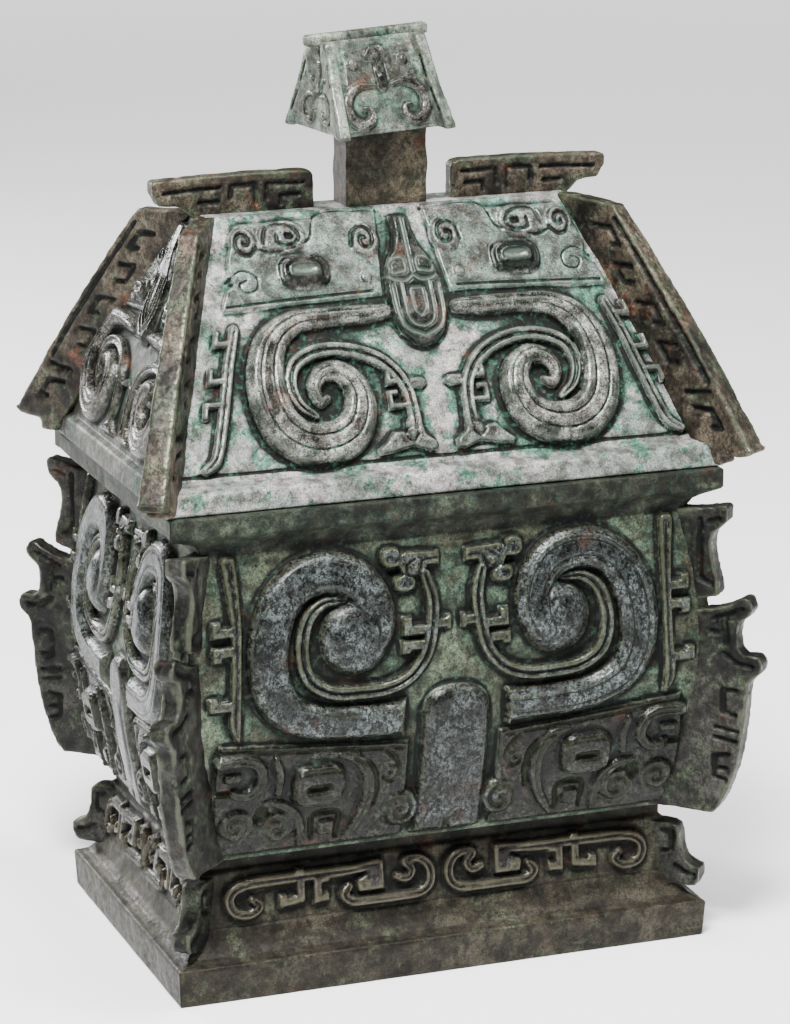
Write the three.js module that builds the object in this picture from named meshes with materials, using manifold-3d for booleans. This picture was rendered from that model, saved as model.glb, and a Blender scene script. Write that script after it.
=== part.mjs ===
import * as THREE from 'three';
import { mergeVertices } from 'three/addons/utils/BufferGeometryUtils.js';
import Module from 'manifold-3d';

// A fangyi: a square bronze wine vessel, cast in two pieces, the body on its foot and the roof-shaped lid.
// Millimetres, +Z up, front towards -Y, origin in the middle of the underside of the foot.

// Foot
const footWidth = 240;
const footDepth = 160;
const footBandHeight = 16.5;
const footLip = 1.5;
const footLedgeHeight = 29;
const footLedgeIn = 10;
const footTopHeight = 53;
const footLean = 3.5;
const footWall = 5;

// Recess between foot and belly, and the vessel's floor
const recessHeight = 8;
const recessIn = 3;
const floorThickness = 5;

// Belly: a barrel between a lower and an upper rectangle
const bellyHeight = 135;
const bellyBottomWidth = 218;
const bellyBottomDepth = 147;
const bellyTopWidth = 217;
const bellyTopDepth = 163;
const bellyBulgeWidth = 9.3;
const bellyBulgeDepth = 11.3;
const bellySteps = 4;
const bellyWall = 3.5;

// Rim: it stands out past the top of the belly
const rimOutWidth = 28.6;
const rimOutDepth = 12;
const rimCoveHeight = 9;
const rimBandHeight = 8.5;

// Lid
const lidGap = 0.4;
const lipClearance = 1;
const lipDepth = 11;
const lipWall = 3.5;
const eaveOutWidth = 2.4;
const eaveInDepth = 5;
const eaveHeight = 10.4;
const roofInWidth = 8.4;
const roofInDepth = 22;
const roofSlopeWidth = 75.6;
const roofTopDepth = 20;
const roofHeight = 97.6;
const roofBulge = 2.8;
const roofSteps = 2;
const roofWall = 3.5;
const roofCrown = 6;

// Flanges
const bellyFlangeThickness = 9;
const footFlangeThickness = 9;
const hipFlangeThickness = 10;
const hipFlangeHeight = 26;
const ridgeFlangeThickness = 8;
const ridgeFlangeHeight = 15.5;
const ridgeFlangeGap = 31;
const ridgeFlangeReach = 21;
const grooveDepth = 1.6;

// Knob: a small copy of the lid on a stem, set a little askew
const stemWidth = 36.4;
const stemDepth = 17.5;
const stemHeight = 33;
const stemSink = 8;
const knobTurn = 6;
const knobLean = -2.5;
const knobShift = -4.6;
const knobBottomWidth = 47;
const knobBottomDepth = 44;
const knobTopWidth = 40;
const knobTopDepth = 9;
const knobHeight = 38;
const knobFlangeThickness = 5;
const knobFlangeHeight = 4.5;
const knobRidgeLength = 57;
const knobRidgeHeight = 4.5;

// Relief heights
const coilHeight = 4.2;
const ribbonHeight = 2.6;
const eyeHeight = 4.8;
const plateHeight = 1.8;
const scrollHeight = 3;
const noseHeight = 4.2;
const dragonHeight = 2.4;
const knobReliefHeight = 1.6;

// Fineness of the curved outlines
const coilSteps = 9;
const tongueSteps = 6;
const dragonSteps = 6;
const discSides = 7;

// Widths and depths of the rim, the eave and the roof, each from what carries it
const rimWidth = bellyTopWidth + rimOutWidth;
const rimDepth = bellyTopDepth + rimOutDepth;
const eaveWidth = rimWidth + eaveOutWidth;
const eaveDepth = rimDepth - eaveInDepth;
const roofBottomWidth = eaveWidth - roofInWidth;
const roofBottomDepth = eaveDepth - roofInDepth;
const roofTopWidth = roofBottomWidth - roofSlopeWidth;

// Heights above the ground, each from the one below
const recessTop = footTopHeight + recessHeight;
const bellyTop = recessTop + bellyHeight;
const rimTop = bellyTop + rimCoveHeight + rimBandHeight;
const eaveBottom = rimTop + lidGap;
const roofBottom = eaveBottom + eaveHeight;
const roofTop = roofBottom + roofHeight;
const knobBottom = roofTop + stemHeight;

const wasm = await Module();
wasm.setup();

function toSolid(geometry) {
  geometry.deleteAttribute('normal');
  geometry.deleteAttribute('uv');
  const merged = mergeVertices(geometry, 1e-4);
  return new wasm.Manifold(new wasm.Mesh({
    numProp: 3,
    vertProperties: new Float32Array(merged.attributes.position.array),
    triVerts: new Uint32Array(merged.index.array),
  }));
}

function toGeometry(solid) {
  const mesh = solid.getMesh();
  const geometry = new THREE.BufferGeometry();
  geometry.setAttribute('position', new THREE.BufferAttribute(mesh.vertProperties, 3));
  geometry.setIndex(new THREE.BufferAttribute(mesh.triVerts, 1));
  geometry.computeVertexNormals();
  return geometry;
}

function joined(solids) {
  return solids.reduce((whole, solid) => whole.add(solid));
}

const mix = THREE.MathUtils.lerp;

// A stack of rectangles: each level gives its height z and the half width x and half depth y there.
function stack(levels) {
  const rows = levels.length - 1;
  const geometry = new THREE.BoxGeometry(2, 2, rows, 1, 1, rows);
  const position = geometry.attributes.position;
  for (let i = 0; i < position.count; i += 1) {
    const level = levels[Math.round(position.getZ(i) + rows / 2)];
    position.setXYZ(i, position.getX(i) * level.x, position.getY(i) * level.y, level.z);
  }
  return toSolid(geometry);
}

function grown(levels, margin) {
  return levels.map(({ z, x, y }) => ({ z, x: x + margin, y: y + margin }));
}

// Profiles of the outside

function footLevels() {
  const x = footWidth / 2;
  const y = footDepth / 2;
  const ledge = footLedgeHeight - footBandHeight;
  return [
    { z: 0, x, y },
    { z: footBandHeight, x: x + footLip / 2, y: y + footLip },
    { z: footBandHeight + 0.15 * ledge, x: x - 0.3 * footLedgeIn, y: y - 0.25 * footLedgeIn },
    { z: footBandHeight + 0.4 * ledge, x: x - 0.7 * footLedgeIn, y: y - 0.65 * footLedgeIn },
    { z: footLedgeHeight, x: x - footLedgeIn, y: y - footLedgeIn },
    { z: footTopHeight, x: x - footLedgeIn - footLean, y: y - footLedgeIn - footLean },
  ];
}

function bellyLevels() {
  return Array.from({ length: bellySteps + 1 }, (_, i) => {
    const t = i / bellySteps;
    const bulge = Math.sin(Math.PI * t);
    return {
      z: recessTop + t * bellyHeight,
      x: mix(bellyBottomWidth, bellyTopWidth, t) / 2 + bellyBulgeWidth * bulge,
      y: mix(bellyBottomDepth, bellyTopDepth, t) / 2 + bellyBulgeDepth * bulge,
    };
  });
}

function rimLevels() {
  const cove = bellyTop + rimCoveHeight;
  return [
    { z: mix(bellyTop, cove, 0.5), x: bellyTopWidth / 2 + 2, y: bellyTopDepth / 2 + 1.5 },
    { z: mix(bellyTop, cove, 0.8), x: rimWidth / 2 - 5, y: rimDepth / 2 - 2 },
    { z: cove, x: rimWidth / 2, y: rimDepth / 2 },
    { z: rimTop, x: rimWidth / 2, y: rimDepth / 2 },
  ];
}

function roofLevels() {
  return Array.from({ length: roofSteps + 1 }, (_, i) => {
    const t = i / roofSteps;
    const bulge = roofBulge * Math.sin(Math.PI * t);
    return {
      z: roofBottom + t * roofHeight,
      x: mix(roofBottomWidth, roofTopWidth, t) / 2 + bulge,
      y: mix(roofBottomDepth, roofTopDepth, t) / 2 + bulge,
    };
  });
}

function knobLevels() {
  return [
    { z: 0, x: knobBottomWidth / 2, y: knobBottomDepth / 2 },
    {
      z: 0.5 * knobHeight,
      x: mix(knobBottomWidth, knobTopWidth, 0.4) / 2,
      y: mix(knobBottomDepth, knobTopDepth, 0.44) / 2,
    },
    { z: knobHeight, x: knobTopWidth / 2, y: knobTopDepth / 2 },
  ];
}

// Outlines of the carving, as lists of [across, up]

function polygon(points, place) {
  return points.map(([u, v]) => place(u, v));
}

// A ribbon of changing width along a smooth curve through [across, up, half width].
function ribbon(points, place, steps) {
  const curve = new THREE.CatmullRomCurve3(points.map((p) => new THREE.Vector3(...p)), false, 'centripetal');
  const left = [];
  const right = [];
  for (let i = 0; i <= steps; i += 1) {
    const p = curve.getPoint(i / steps);
    const before = curve.getPoint(Math.max(0, i / steps - 0.004));
    const way = curve.getPoint(Math.min(1, i / steps + 0.004)).sub(before);
    const length = Math.hypot(way.x, way.y);
    const nx = -way.y / length;
    const ny = way.x / length;
    left.push(place(p.x + nx * p.z, p.y + ny * p.z));
    right.push(place(p.x - nx * p.z, p.y - ny * p.z));
  }
  return [...left, ...right.reverse()];
}

function disc(u, v, radiusU, radiusV, place) {
  return Array.from({ length: discSides }, (_, i) => {
    const a = (2 * Math.PI * (i + 0.5)) / discSides;
    return place(u + radiusU * Math.cos(a), v + radiusV * Math.sin(a));
  });
}

// The outline as a prism that runs outwards from the middle of the vessel, seen from the front.
function prism(outline, reach) {
  const shape = new THREE.Shape(outline.map(([u, v]) => new THREE.Vector2(u, v)));
  const geometry = new THREE.ExtrudeGeometry(shape, { depth: reach, bevelEnabled: false });
  geometry.rotateX(Math.PI / 2);
  return toSolid(geometry);
}

// Carves a face: each raised form is a prism cut off at its height above the surface.
// turn brings the front face round to the face, in quarter turns.
function relief(forms, levels, turn, reach) {
  const heights = [...new Set(forms.map((form) => form.height))];
  return joined(heights.map((height) => {
    const chosen = forms.filter((form) => form.height === height);
    const prisms = joined(chosen.map((form) => prism(form.outline, reach)));
    return stack(grown(levels, height)).intersect(prisms.rotate([0, 0, turn * 90]));
  }));
}

function both(make) {
  return [make(1), make(-1)].flat();
}

// Half the mask on the belly is drawn on a sheet, 100 across from the middle and 135 up from the bottom.
// The roof's sheet is 120 across and 98 up, the gable's 74 across.
// The foot's is 100 by 24 and the knob's 23.5 by 38.
const sheet = { across: 100, bellyUp: 135, roofUp: 98, roofAcross: 120, gableAcross: 74, footUp: 24,
  knobUp: 38, knobAcross: 23.5 };

function bellyMask(halfSpan) {
  const up = bellyHeight / sheet.bellyUp;
  const across = halfSpan / sheet.across;
  const forms = both((side) => {
    const place = (u, v) => [side * u * across, recessTop + v * up];
    const coil = [[22, 59.5, 7.8], [44, 60, 7.8], [62, 61.5, 8], [76.5, 69, 8.7], [84, 83, 9.2],
      [83.5, 99, 9.2], [78, 113, 9], [68, 121.5, 9], [56, 123.5, 9], [44, 120, 9.2], [37, 110, 9]];
    const tongue = [[53, 110.5, 2], [65, 104, 3.2], [68, 92, 3.3], [65, 80, 3.3], [56, 73.5, 3.3],
      [44, 72.5, 3.2], [31, 73, 3.2], [21, 77, 3], [13.5, 86, 3], [10, 97, 3], [9.5, 109, 3], [9.5, 123, 3]];
    const head = [[2, 123], [2, 132], [28, 132], [27, 124], [20, 121], [17, 114], [12, 122]];
    return [
      { height: coilHeight, outline: ribbon(coil, place, coilSteps) },
      { height: coilHeight, outline: disc(45, 96, 17, 17, place) },
      { height: ribbonHeight, outline: ribbon(tongue, place, tongueSteps) },
      { height: ribbonHeight, outline: polygon(head, place) },
      { height: ribbonHeight, outline: polygon([[93, 62], [97, 62], [99.5, 130], [93, 130]], place) },
      { height: plateHeight, outline: polygon([[18, 4], [18, 48], [103, 55], [103, 8]], place) },
      { height: scrollHeight, outline: disc(21.5, 17, 8.5, 9, place) },
      { height: scrollHeight, outline: disc(93, 17, 9, 10, place) },
      { height: scrollHeight, outline: polygon([[84, 48], [100, 50], [101, 40], [84, 34]], place) },
      { height: eyeHeight, outline: disc(60, 34, 12.5, 9.5, place) },
    ];
  });
  const middle = (u, v) => [u * across, recessTop + v * up];
  forms.push({
    height: noseHeight,
    outline: polygon([[-15, 5], [15, 5], [15.5, 62], [8, 71.5], [-8, 71.5], [-15.5, 62]], middle),
  });
  return forms;
}

// The mask on the long sides of the roof, drawn 100 across and 98 up, stands the other way up.
function roofMask() {
  const up = roofHeight / sheet.roofUp;
  const across = roofBottomWidth / 2 / sheet.roofAcross;
  const forms = both((side) => {
    const place = (u, v) => [side * u * across, roofBottom + v * up];
    const coil = [[18, 56.5, 4.3], [40, 57, 4.3], [58, 56, 5], [70, 48.5, 7.5], [74.5, 33.5, 9], [72, 19, 9],
      [62, 11, 8.6], [50, 10.5, 8.5], [39, 15, 8.5], [35, 24, 8]];
    const tongue = [[57, 21, 2], [63, 28, 2.5], [62, 36.5, 3], [54, 43, 3], [42, 44, 3], [30, 42, 3],
      [20, 37, 3], [13.5, 28.5, 3], [12.5, 18.5, 3], [13, 12, 3]];
    const head = [[4, 4.5], [4, 11], [11, 16], [20, 16], [31, 5]];
    const jaw = [[14, 64], [86, 62], [80, 79], [62, 81], [34, 95], [6, 95]];
    const strip = [[83, 55.5, 2.4], [90, 37.5, 2.6], [95.5, 20.5, 2.6], [104, 4, 2.2]];
    return [
      { height: coilHeight, outline: ribbon(coil, place, coilSteps) },
      { height: coilHeight, outline: disc(43, 29.5, 12, 12, place) },
      { height: ribbonHeight, outline: ribbon(tongue, place, tongueSteps) },
      { height: ribbonHeight, outline: polygon(head, place) },
      { height: ribbonHeight, outline: ribbon(strip, place, 3) },
      { height: plateHeight, outline: polygon(jaw, place) },
      { height: scrollHeight, outline: disc(18, 84.5, 7, 7, place) },
      { height: scrollHeight, outline: disc(54, 88, 9, 5.5, place) },
      { height: eyeHeight, outline: disc(47.5, 74, 11, 6.5, place) },
    ];
  });
  const middle = (u, v) => [u * across, roofBottom + v * up];
  forms.push({
    height: noseHeight,
    outline: polygon([[-8, 90], [-12.5, 68], [-12.5, 54], [0, 43.5], [12.5, 54], [12.5, 68], [8, 90]],
      middle),
  });
  return forms;
}

// The narrow ends of the roof carry the same mask, drawn in to a triangle.
function gableMask() {
  const up = roofHeight / sheet.roofUp;
  const across = roofBottomDepth / 2 / sheet.gableAcross;
  const forms = both((side) => {
    const place = (u, v) => [side * u * across, roofBottom + v * up];
    const coil = [[12, 47, 4], [28, 48, 4.2], [43, 46, 5], [51, 36, 6.5], [51.5, 22, 7], [45, 12, 7],
      [35, 9, 7], [26.5, 14, 6.5], [24, 22, 6]];
    const tongue = [[43, 21, 2], [43, 32, 2.4], [34, 38.5, 2.6], [22, 36, 2.6], [12, 29, 2.6], [9.5, 18, 2.6],
      [10, 11, 2.6]];
    return [
      { height: coilHeight, outline: ribbon(coil, place, coilSteps) },
      { height: coilHeight, outline: disc(31, 25.5, 9, 9.5, place) },
      { height: ribbonHeight, outline: ribbon(tongue, place, tongueSteps) },
      { height: ribbonHeight, outline: polygon([[3, 4], [3, 10], [8, 14], [15, 14], [22, 4]], place) },
      { height: plateHeight, outline: polygon([[7, 53], [36, 51], [13, 92], [7, 92]], place) },
      { height: scrollHeight, outline: disc(13.5, 78, 4.5, 5, place) },
      { height: eyeHeight, outline: disc(22, 62, 6.5, 5, place) },
    ];
  });
  const middle = (u, v) => [u * across, roofBottom + v * up];
  forms.push({
    height: noseHeight,
    outline: polygon([[-6, 93], [-9, 48], [-6, 42], [6, 42], [9, 48], [6, 93]], middle),
  });
  return forms;
}

// Two dragons face each other along each side of the foot.
function footDragons(halfSpan) {
  const across = halfSpan / sheet.across;
  const up = (footTopHeight - footLedgeHeight) / sheet.footUp;
  return both((side) => {
    const place = (u, v) => [side * u * across, footLedgeHeight + v * up];
    const head = [[17, 12, 1.6], [14, 18.5, 1.7], [6, 17.5, 1.8], [2.8, 11, 1.8], [5.5, 4, 1.8],
      [14, 2.8, 1.8], [30, 3, 1.9], [40, 3.5, 2.1], [43, 8, 2]];
    const back = [[28, 19.5, 1.9], [30, 13, 2.2], [45, 17, 2], [70, 17, 2], [90, 16.5, 2], [94, 11, 2],
      [92, 4, 2], [84, 3, 2], [80, 8.5, 1.8]];
    const leg = [[60, 17], [60, 4.5], [70, 5], [70, 8], [65, 9], [65, 17]];
    return [
      { height: dragonHeight, outline: ribbon(head, place, dragonSteps) },
      { height: dragonHeight, outline: ribbon(back, place, dragonSteps) },
      { height: dragonHeight, outline: polygon(leg, place) },
    ];
  });
}

function knobMask() {
  const up = knobHeight / sheet.knobUp;
  const across = knobBottomWidth / 2 / sheet.knobAcross;
  const forms = both((side) => {
    const place = (u, v) => [side * u * across, v * up];
    const coil = [[5, 19.5, 1.4], [11, 20, 1.6], [17.5, 16.5, 2.2], [19, 10, 2.4], [15, 4.5, 2.4],
      [9, 5, 2.2]];
    return [
      { height: knobReliefHeight, outline: ribbon(coil, place, 5) },
      { height: knobReliefHeight, outline: disc(13, 28.5, 2.6, 2.6, place) },
    ];
  });
  const middle = (u, v) => [u * across, v * up];
  forms.push({
    height: knobReliefHeight,
    outline: polygon([[-6, 34], [-2.5, 26], [-2.5, 20], [0, 17.5], [2.5, 20], [2.5, 26], [6, 34]], middle),
  });
  return forms;
}

// Flanges are upright plates. Their outlines are drawn as [outwards, up] in the plate's own plane.

// bearing is the plate's direction in plan, in radians from +X.
// from is the place in plan where outwards is 0.
function plate(outline, thickness, from, bearing, grooves = []) {
  const flat = (points, depth, offset) => {
    const shape = new THREE.Shape(points.map(([r, z]) => new THREE.Vector2(r, z)));
    const geometry = new THREE.ExtrudeGeometry(shape, { depth, bevelEnabled: false });
    geometry.translate(0, 0, offset);
    geometry.rotateX(Math.PI / 2);
    return toSolid(geometry);
  };
  let solid = flat(outline, thickness, -thickness / 2);
  for (const groove of grooves) {
    const cut = flat(groove, 2 * grooveDepth, thickness / 2 - grooveDepth);
    solid = solid.subtract(cut).subtract(cut.translate([0, thickness, 0]));
  }
  return solid.rotate([0, 0, THREE.MathUtils.radToDeg(bearing)]).translate([from.x, from.y, 0]);
}

function corners(make) {
  return [[1, 1], [-1, 1], [-1, -1], [1, -1]].map(([sx, sy]) => make(sx, sy));
}

// A straight upright groove.
function slotGroove(r, z, length, width = 3) {
  return [[r, z - length / 2], [r + width, z - length / 2], [r + width, z + length / 2], [r, z + length / 2]];
}

// A groove bent like a square letter C, of even width, from the middle of its upright.
function hookGroove(r, z, length, arm, width = 3) {
  const half = length / 2;
  return [[r, z + half], [r, z - half], [r + arm, z - half], [r + arm, z - half + width],
    [r + width, z - half + width], [r + width, z + half - width], [r + arm, z + half - width],
    [r + arm, z + half]];
}

// Outwards is measured from a point on the diagonal a little outside the belly's top corners.
function bellyFlanges() {
  const inner = 24;
  const raised = (points, base) => points.map(([r, z]) => [r, base + z]);
  const upper = raised([[-inner, 0], [-9, 0.5], [9, 3.5], [10.2, -3.5], [4.5, -8.5], [2.7, -15], [6, -31],
    [7, -36.5], [-inner, -41]], bellyTop);
  const lower = raised([[-inner, 88.5], [4, 92.5], [14.5, 96.5], [19.5, 99], [22.2, 94], [16.8, 88],
    [15.5, 81], [17, 73.5], [25.3, 72.5], [27, 69], [24.5, 64.5], [20.5, 60], [19.5, 45], [16.5, 27],
    [12, 11], [5.5, 0.5], [-inner, 0.5]], recessTop);
  const grooves = [hookGroove(5, recessTop + 56, 20, 9), hookGroove(1, recessTop + 22, 18, 9)];
  const startY = (bellyTopDepth + bellyBulgeDepth) / 2;
  const startX = startY + (bellyTopWidth - bellyTopDepth) / 2 + 2;
  return corners((sx, sy) => {
    const from = { x: sx * startX, y: sy * startY };
    const bearing = Math.atan2(sy, sx);
    return [
      plate(upper, bellyFlangeThickness, from, bearing, [slotGroove(-3, bellyTop - 21, 18)]),
      plate(lower, bellyFlangeThickness, from, bearing, grooves),
    ];
  }).flat();
}

function footFlanges() {
  const base = footLedgeHeight;
  const outline = [[-12, footTopHeight - 1.5], [5.5, footTopHeight - 1.5], [8, footTopHeight - 4.5],
    [8.6, base + 12], [10.5, base + 6.5], [14, base + 4.2], [18, base + 3], [18, base - 2], [16, base - 5.5],
    [6.5, base - 6], [-12, base - 6]];
  const levels = footLevels();
  const top = levels[levels.length - 1];
  return corners((sx, sy) => plate(outline, footFlangeThickness,
    { x: sx * (top.x + 0.5), y: sy * (top.y + 0.5) },
    Math.atan2(sy, sx), [slotGroove(0, base + 12, 11)]));
}

function hipFlanges() {
  const run = Math.hypot(roofBottomWidth - roofTopWidth, roofBottomDepth - roofTopDepth) / 2;
  const along = (t, out) => [t * run + out, roofTop - t * roofHeight];
  const overhang = 0.05;
  const swell = 2.5;
  const crest = [0.02, 0.2, 0.42, 0.66, 0.86, 1].map(
    (t) => along(t, hipFlangeHeight + swell * Math.sin(Math.PI * t)));
  const [endR, endZ] = along(1 + overhang, hipFlangeHeight);
  const outline = [along(0, 4), ...crest, [endR, endZ + 2], [endR - 3, endZ - 1], [endR - 8, endZ - 2],
    along(1, 18), along(1, 7.5), along(1.1, 5.5), along(1.1, -4), along(0, -4)];
  const grooves = [0.28, 0.74].map((t) => {
    const [r, z] = along(t, 9);
    return [[r - 7, z + 12], [r + 5, z - 6], [r + 7.5, z - 4], [r - 4, z + 12]];
  });
  return corners((sx, sy) => plate(outline, hipFlangeThickness,
    { x: (sx * roofTopWidth) / 2, y: (sy * roofTopDepth) / 2 },
    Math.atan2(sy * (roofBottomDepth - roofTopDepth), sx * (roofBottomWidth - roofTopWidth)), grooves));
}

function ridgeFlanges() {
  const end = roofTopWidth / 2;
  const top = roofTop + ridgeFlangeHeight;
  const tip = end + ridgeFlangeReach;
  const outline = [[ridgeFlangeGap, roofTop - 4], [ridgeFlangeGap, top], [ridgeFlangeGap + 4, top + 0.8],
    [tip, top - 0.5], [tip, top - 5], [tip - 4, top - 11], [end + 8, top - 11.5], [end, roofTop - 4]];
  const grooves = [hookGroove(ridgeFlangeGap + 8, roofTop + 8, 9, 26)];
  return [0, Math.PI].map((bearing) => plate(outline, ridgeFlangeThickness, { x: 0, y: 0 },
    bearing, grooves));
}

function knob() {
  const levels = knobLevels();
  const reach = knobBottomDepth;
  const forms = [
    stack(levels),
    relief(knobMask(), levels, 0, reach),
    relief(knobMask(), levels, 2, reach),
  ];
  const rise = knobHeight;
  const run = Math.hypot(knobBottomWidth - knobTopWidth, knobBottomDepth - knobTopDepth) / 2;
  const edge = knobFlangeHeight;
  const fin = [[-3, rise + 1], [edge, rise + 1], [mix(0, run, 0.56) + edge + 1, 0.5 * rise], [run + edge, 0],
    [run - 5, 0.5]];
  corners((sx, sy) => forms.push(plate(fin, knobFlangeThickness,
    { x: (sx * knobTopWidth) / 2, y: (sy * knobTopDepth) / 2 },
    Math.atan2(sy * (knobBottomDepth - knobTopDepth), sx * (knobBottomWidth - knobTopWidth)))));
  const half = knobRidgeLength / 2;
  const crest = rise + knobRidgeHeight;
  const bar = [[-half, rise - 3], [-half, crest], [half, crest], [half, rise - 3]];
  forms.push(plate(bar, knobTopDepth - 2, { x: 0, y: 0 }, 0));
  return joined(forms).rotate([knobLean, 0, knobTurn]).translate([knobShift, 0, knobBottom]);
}

function lid() {
  const mouthX = bellyTopWidth / 2 - bellyWall;
  const mouthY = bellyTopDepth / 2 - bellyWall;
  const lipX = mouthX - lipClearance;
  const lipY = mouthY - lipClearance;
  const levels = roofLevels();
  const lip = [{ z: eaveBottom - lipDepth, x: lipX, y: lipY }, { z: eaveBottom + 1, x: lipX, y: lipY }];
  const longReach = roofBottomDepth;
  const shortReach = roofBottomWidth;
  const outside = joined([
    stack([{ z: eaveBottom, x: eaveWidth / 2, y: eaveDepth / 2 }, ...levels]),
    stack(lip),
    relief(roofMask(), levels, 0, longReach),
    relief(roofMask(), levels, 2, longReach),
    relief(gableMask(), levels, 1, shortReach),
    relief(gableMask(), levels, 3, shortReach),
    ...hipFlanges(),
    ...ridgeFlanges(),
    stack([
      { z: roofTop - stemSink, x: stemWidth / 2, y: stemDepth / 2 },
      { z: knobBottom + 3, x: stemWidth / 2, y: stemDepth / 2 },
    ]),
    knob(),
  ]);
  // The hollow keeps the wall's thickness square to each slope.
  const slopeX = roofWall * Math.hypot(1, (roofBottomWidth - roofTopWidth) / 2 / roofHeight);
  const slopeY = roofWall * Math.hypot(1, (roofBottomDepth - roofTopDepth) / 2 / roofHeight);
  const inner = levels.map(({ z, x, y }) => ({ z, x: x - slopeX, y: y - slopeY }));
  const topShare = 1 - (roofSteps * roofCrown) / roofHeight;
  const below = inner[roofSteps - 1];
  inner[roofSteps] = {
    z: roofTop - roofCrown,
    x: mix(below.x, inner[roofSteps].x, topShare),
    y: mix(below.y, inner[roofSteps].y, topShare),
  };
  const hollow = stack([
    { z: eaveBottom - lipDepth - 1, x: lipX - lipWall, y: lipY - lipWall },
    { z: eaveBottom + 1, x: lipX - lipWall, y: lipY - lipWall },
    ...inner,
  ]);
  return outside.subtract(hollow);
}

function body() {
  const belly = bellyLevels();
  const foot = footLevels();
  const footTop = foot[foot.length - 1];
  const recess = { x: footTop.x - recessIn / 2, y: footTop.y - recessIn / 2 };
  const recessLevels = [{ z: footTopHeight + 2, ...recess }, { z: recessTop - 1, ...recess }];
  const carving = [0, 1, 2, 3].flatMap((turn) => {
    const narrow = turn % 2 === 1;
    const bellyHalf = (narrow ? bellyTopDepth : bellyTopWidth) / 2 - bellyFlangeThickness;
    const footHalf = (narrow ? footTop.y : footTop.x) - footFlangeThickness;
    return [
      relief(bellyMask(bellyHalf), belly, turn, narrow ? bellyTopWidth : bellyTopDepth),
      relief(footDragons(footHalf), foot, turn, narrow ? footWidth : footDepth),
    ];
  });
  const outside = joined([
    stack([...foot, ...recessLevels, ...belly, ...rimLevels()]),
    ...carving,
    ...bellyFlanges(),
    ...footFlanges(),
  ]);
  const mouth = { x: bellyTopWidth / 2 - bellyWall, y: bellyTopDepth / 2 - bellyWall };
  const floor = recessTop + floorThickness;
  const floorShare = (floor - recessTop) / (belly[1].z - recessTop);
  const inside = grown(belly, -bellyWall);
  const hollow = stack([
    { z: floor, x: mix(inside[0].x, inside[1].x, floorShare), y: mix(inside[0].y, inside[1].y, floorShare) },
    ...inside.slice(1),
    { z: rimTop + 1, ...mouth },
  ]);
  const under = grown(foot, -footWall);
  const underTop = under[under.length - 1];
  const footHollow = stack([{ ...under[0], z: -1 }, ...under.slice(1), { ...underTop, z: recessTop }]);
  return outside.subtract(hollow).subtract(footHollow);
}

function piece(name, solid, color) {
  const material = new THREE.MeshStandardMaterial({ color, roughness: 0.45, metalness: 0.7 });
  const mesh = new THREE.Mesh(toGeometry(solid), material);
  mesh.name = name;
  return mesh;
}

const fangyi = new THREE.Group();
fangyi.add(piece('vessel_body', body(), 0x4a4c45));
fangyi.add(piece('lid', lid(), 0x70796f));

export default fangyi;
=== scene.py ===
import math

import bpy
import numpy as np
from mathutils import Euler, Matrix, Vector


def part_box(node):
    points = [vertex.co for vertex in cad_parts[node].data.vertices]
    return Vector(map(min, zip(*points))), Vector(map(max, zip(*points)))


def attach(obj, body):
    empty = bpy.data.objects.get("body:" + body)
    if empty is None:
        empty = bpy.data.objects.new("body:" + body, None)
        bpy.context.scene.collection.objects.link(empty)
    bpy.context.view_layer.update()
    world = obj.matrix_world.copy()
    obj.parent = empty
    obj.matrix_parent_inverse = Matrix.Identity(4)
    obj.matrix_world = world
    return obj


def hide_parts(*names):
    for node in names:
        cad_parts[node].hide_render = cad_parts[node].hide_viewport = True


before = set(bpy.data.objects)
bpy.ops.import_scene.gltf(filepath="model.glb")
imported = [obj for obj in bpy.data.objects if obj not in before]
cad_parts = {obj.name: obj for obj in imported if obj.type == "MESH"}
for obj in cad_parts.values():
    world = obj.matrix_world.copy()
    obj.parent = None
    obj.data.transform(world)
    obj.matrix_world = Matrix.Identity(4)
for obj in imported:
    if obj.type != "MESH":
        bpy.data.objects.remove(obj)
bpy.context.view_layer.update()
millimetre = 0.001
vessel_low, vessel_high = (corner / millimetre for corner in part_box("vessel_body"))
lid_low, lid_high = (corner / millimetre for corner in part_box("lid"))
print("vessel", tuple(vessel_low), tuple(vessel_high))
print("lid", tuple(lid_low), tuple(lid_high))

# %% [markdown]
# A casting is easiest to follow as a stack of levels: at each height it has a half width and a half
# depth. All four sides of a storey share the same levels, so they meet exactly at the corners. The
# heights below are the mould's own, in millimetres, from the ground up.
# %% Heights and profiles of the casting
foot_top = 53.0
belly_bottom = 61.0
belly_top = 196.0
eave_bottom = float(lid_low.z) + 11.0
roof_bottom = eave_bottom + 10.4
roof_top = roof_bottom + 97.6
floor_thickness = 5.0
belly_wall = 3.5
foot_wall = 5.0
mouth = (105.0, 78.0)

foot_profile = [
    (0.0, 119.4, 79.4), (0.8, 120.0, 80.0), (15.6, 120.7, 81.4), (16.5, 120.2, 81.0), (17.2, 118.2, 78.9),
    (18.8, 115.4, 75.8), (21.5, 113.0, 73.4), (25.0, 111.2, 71.3), (28.6, 110.2, 70.2), (29.4, 109.2, 69.2),
    (30.0, 109.8, 69.8), (52.4, 106.6, 66.6), (53.0, 106.0, 66.0), (54.0, 104.8, 64.8), (60.2, 104.8, 64.8),
    (61.0, 108.9, 73.4),
]
rim_profile = [ (196.0, 108.5, 81.5), (198.0, 108.9, 81.8), (200.5, 110.5, 83.0), (202.2, 114.0, 84.4),
               (203.6, 118.8, 86.0), (204.6, 121.8, 87.1), (205.6, 122.8, 87.5), (212.8, 122.8, 87.5),
               (213.5, 122.2, 86.9), ]


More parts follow.
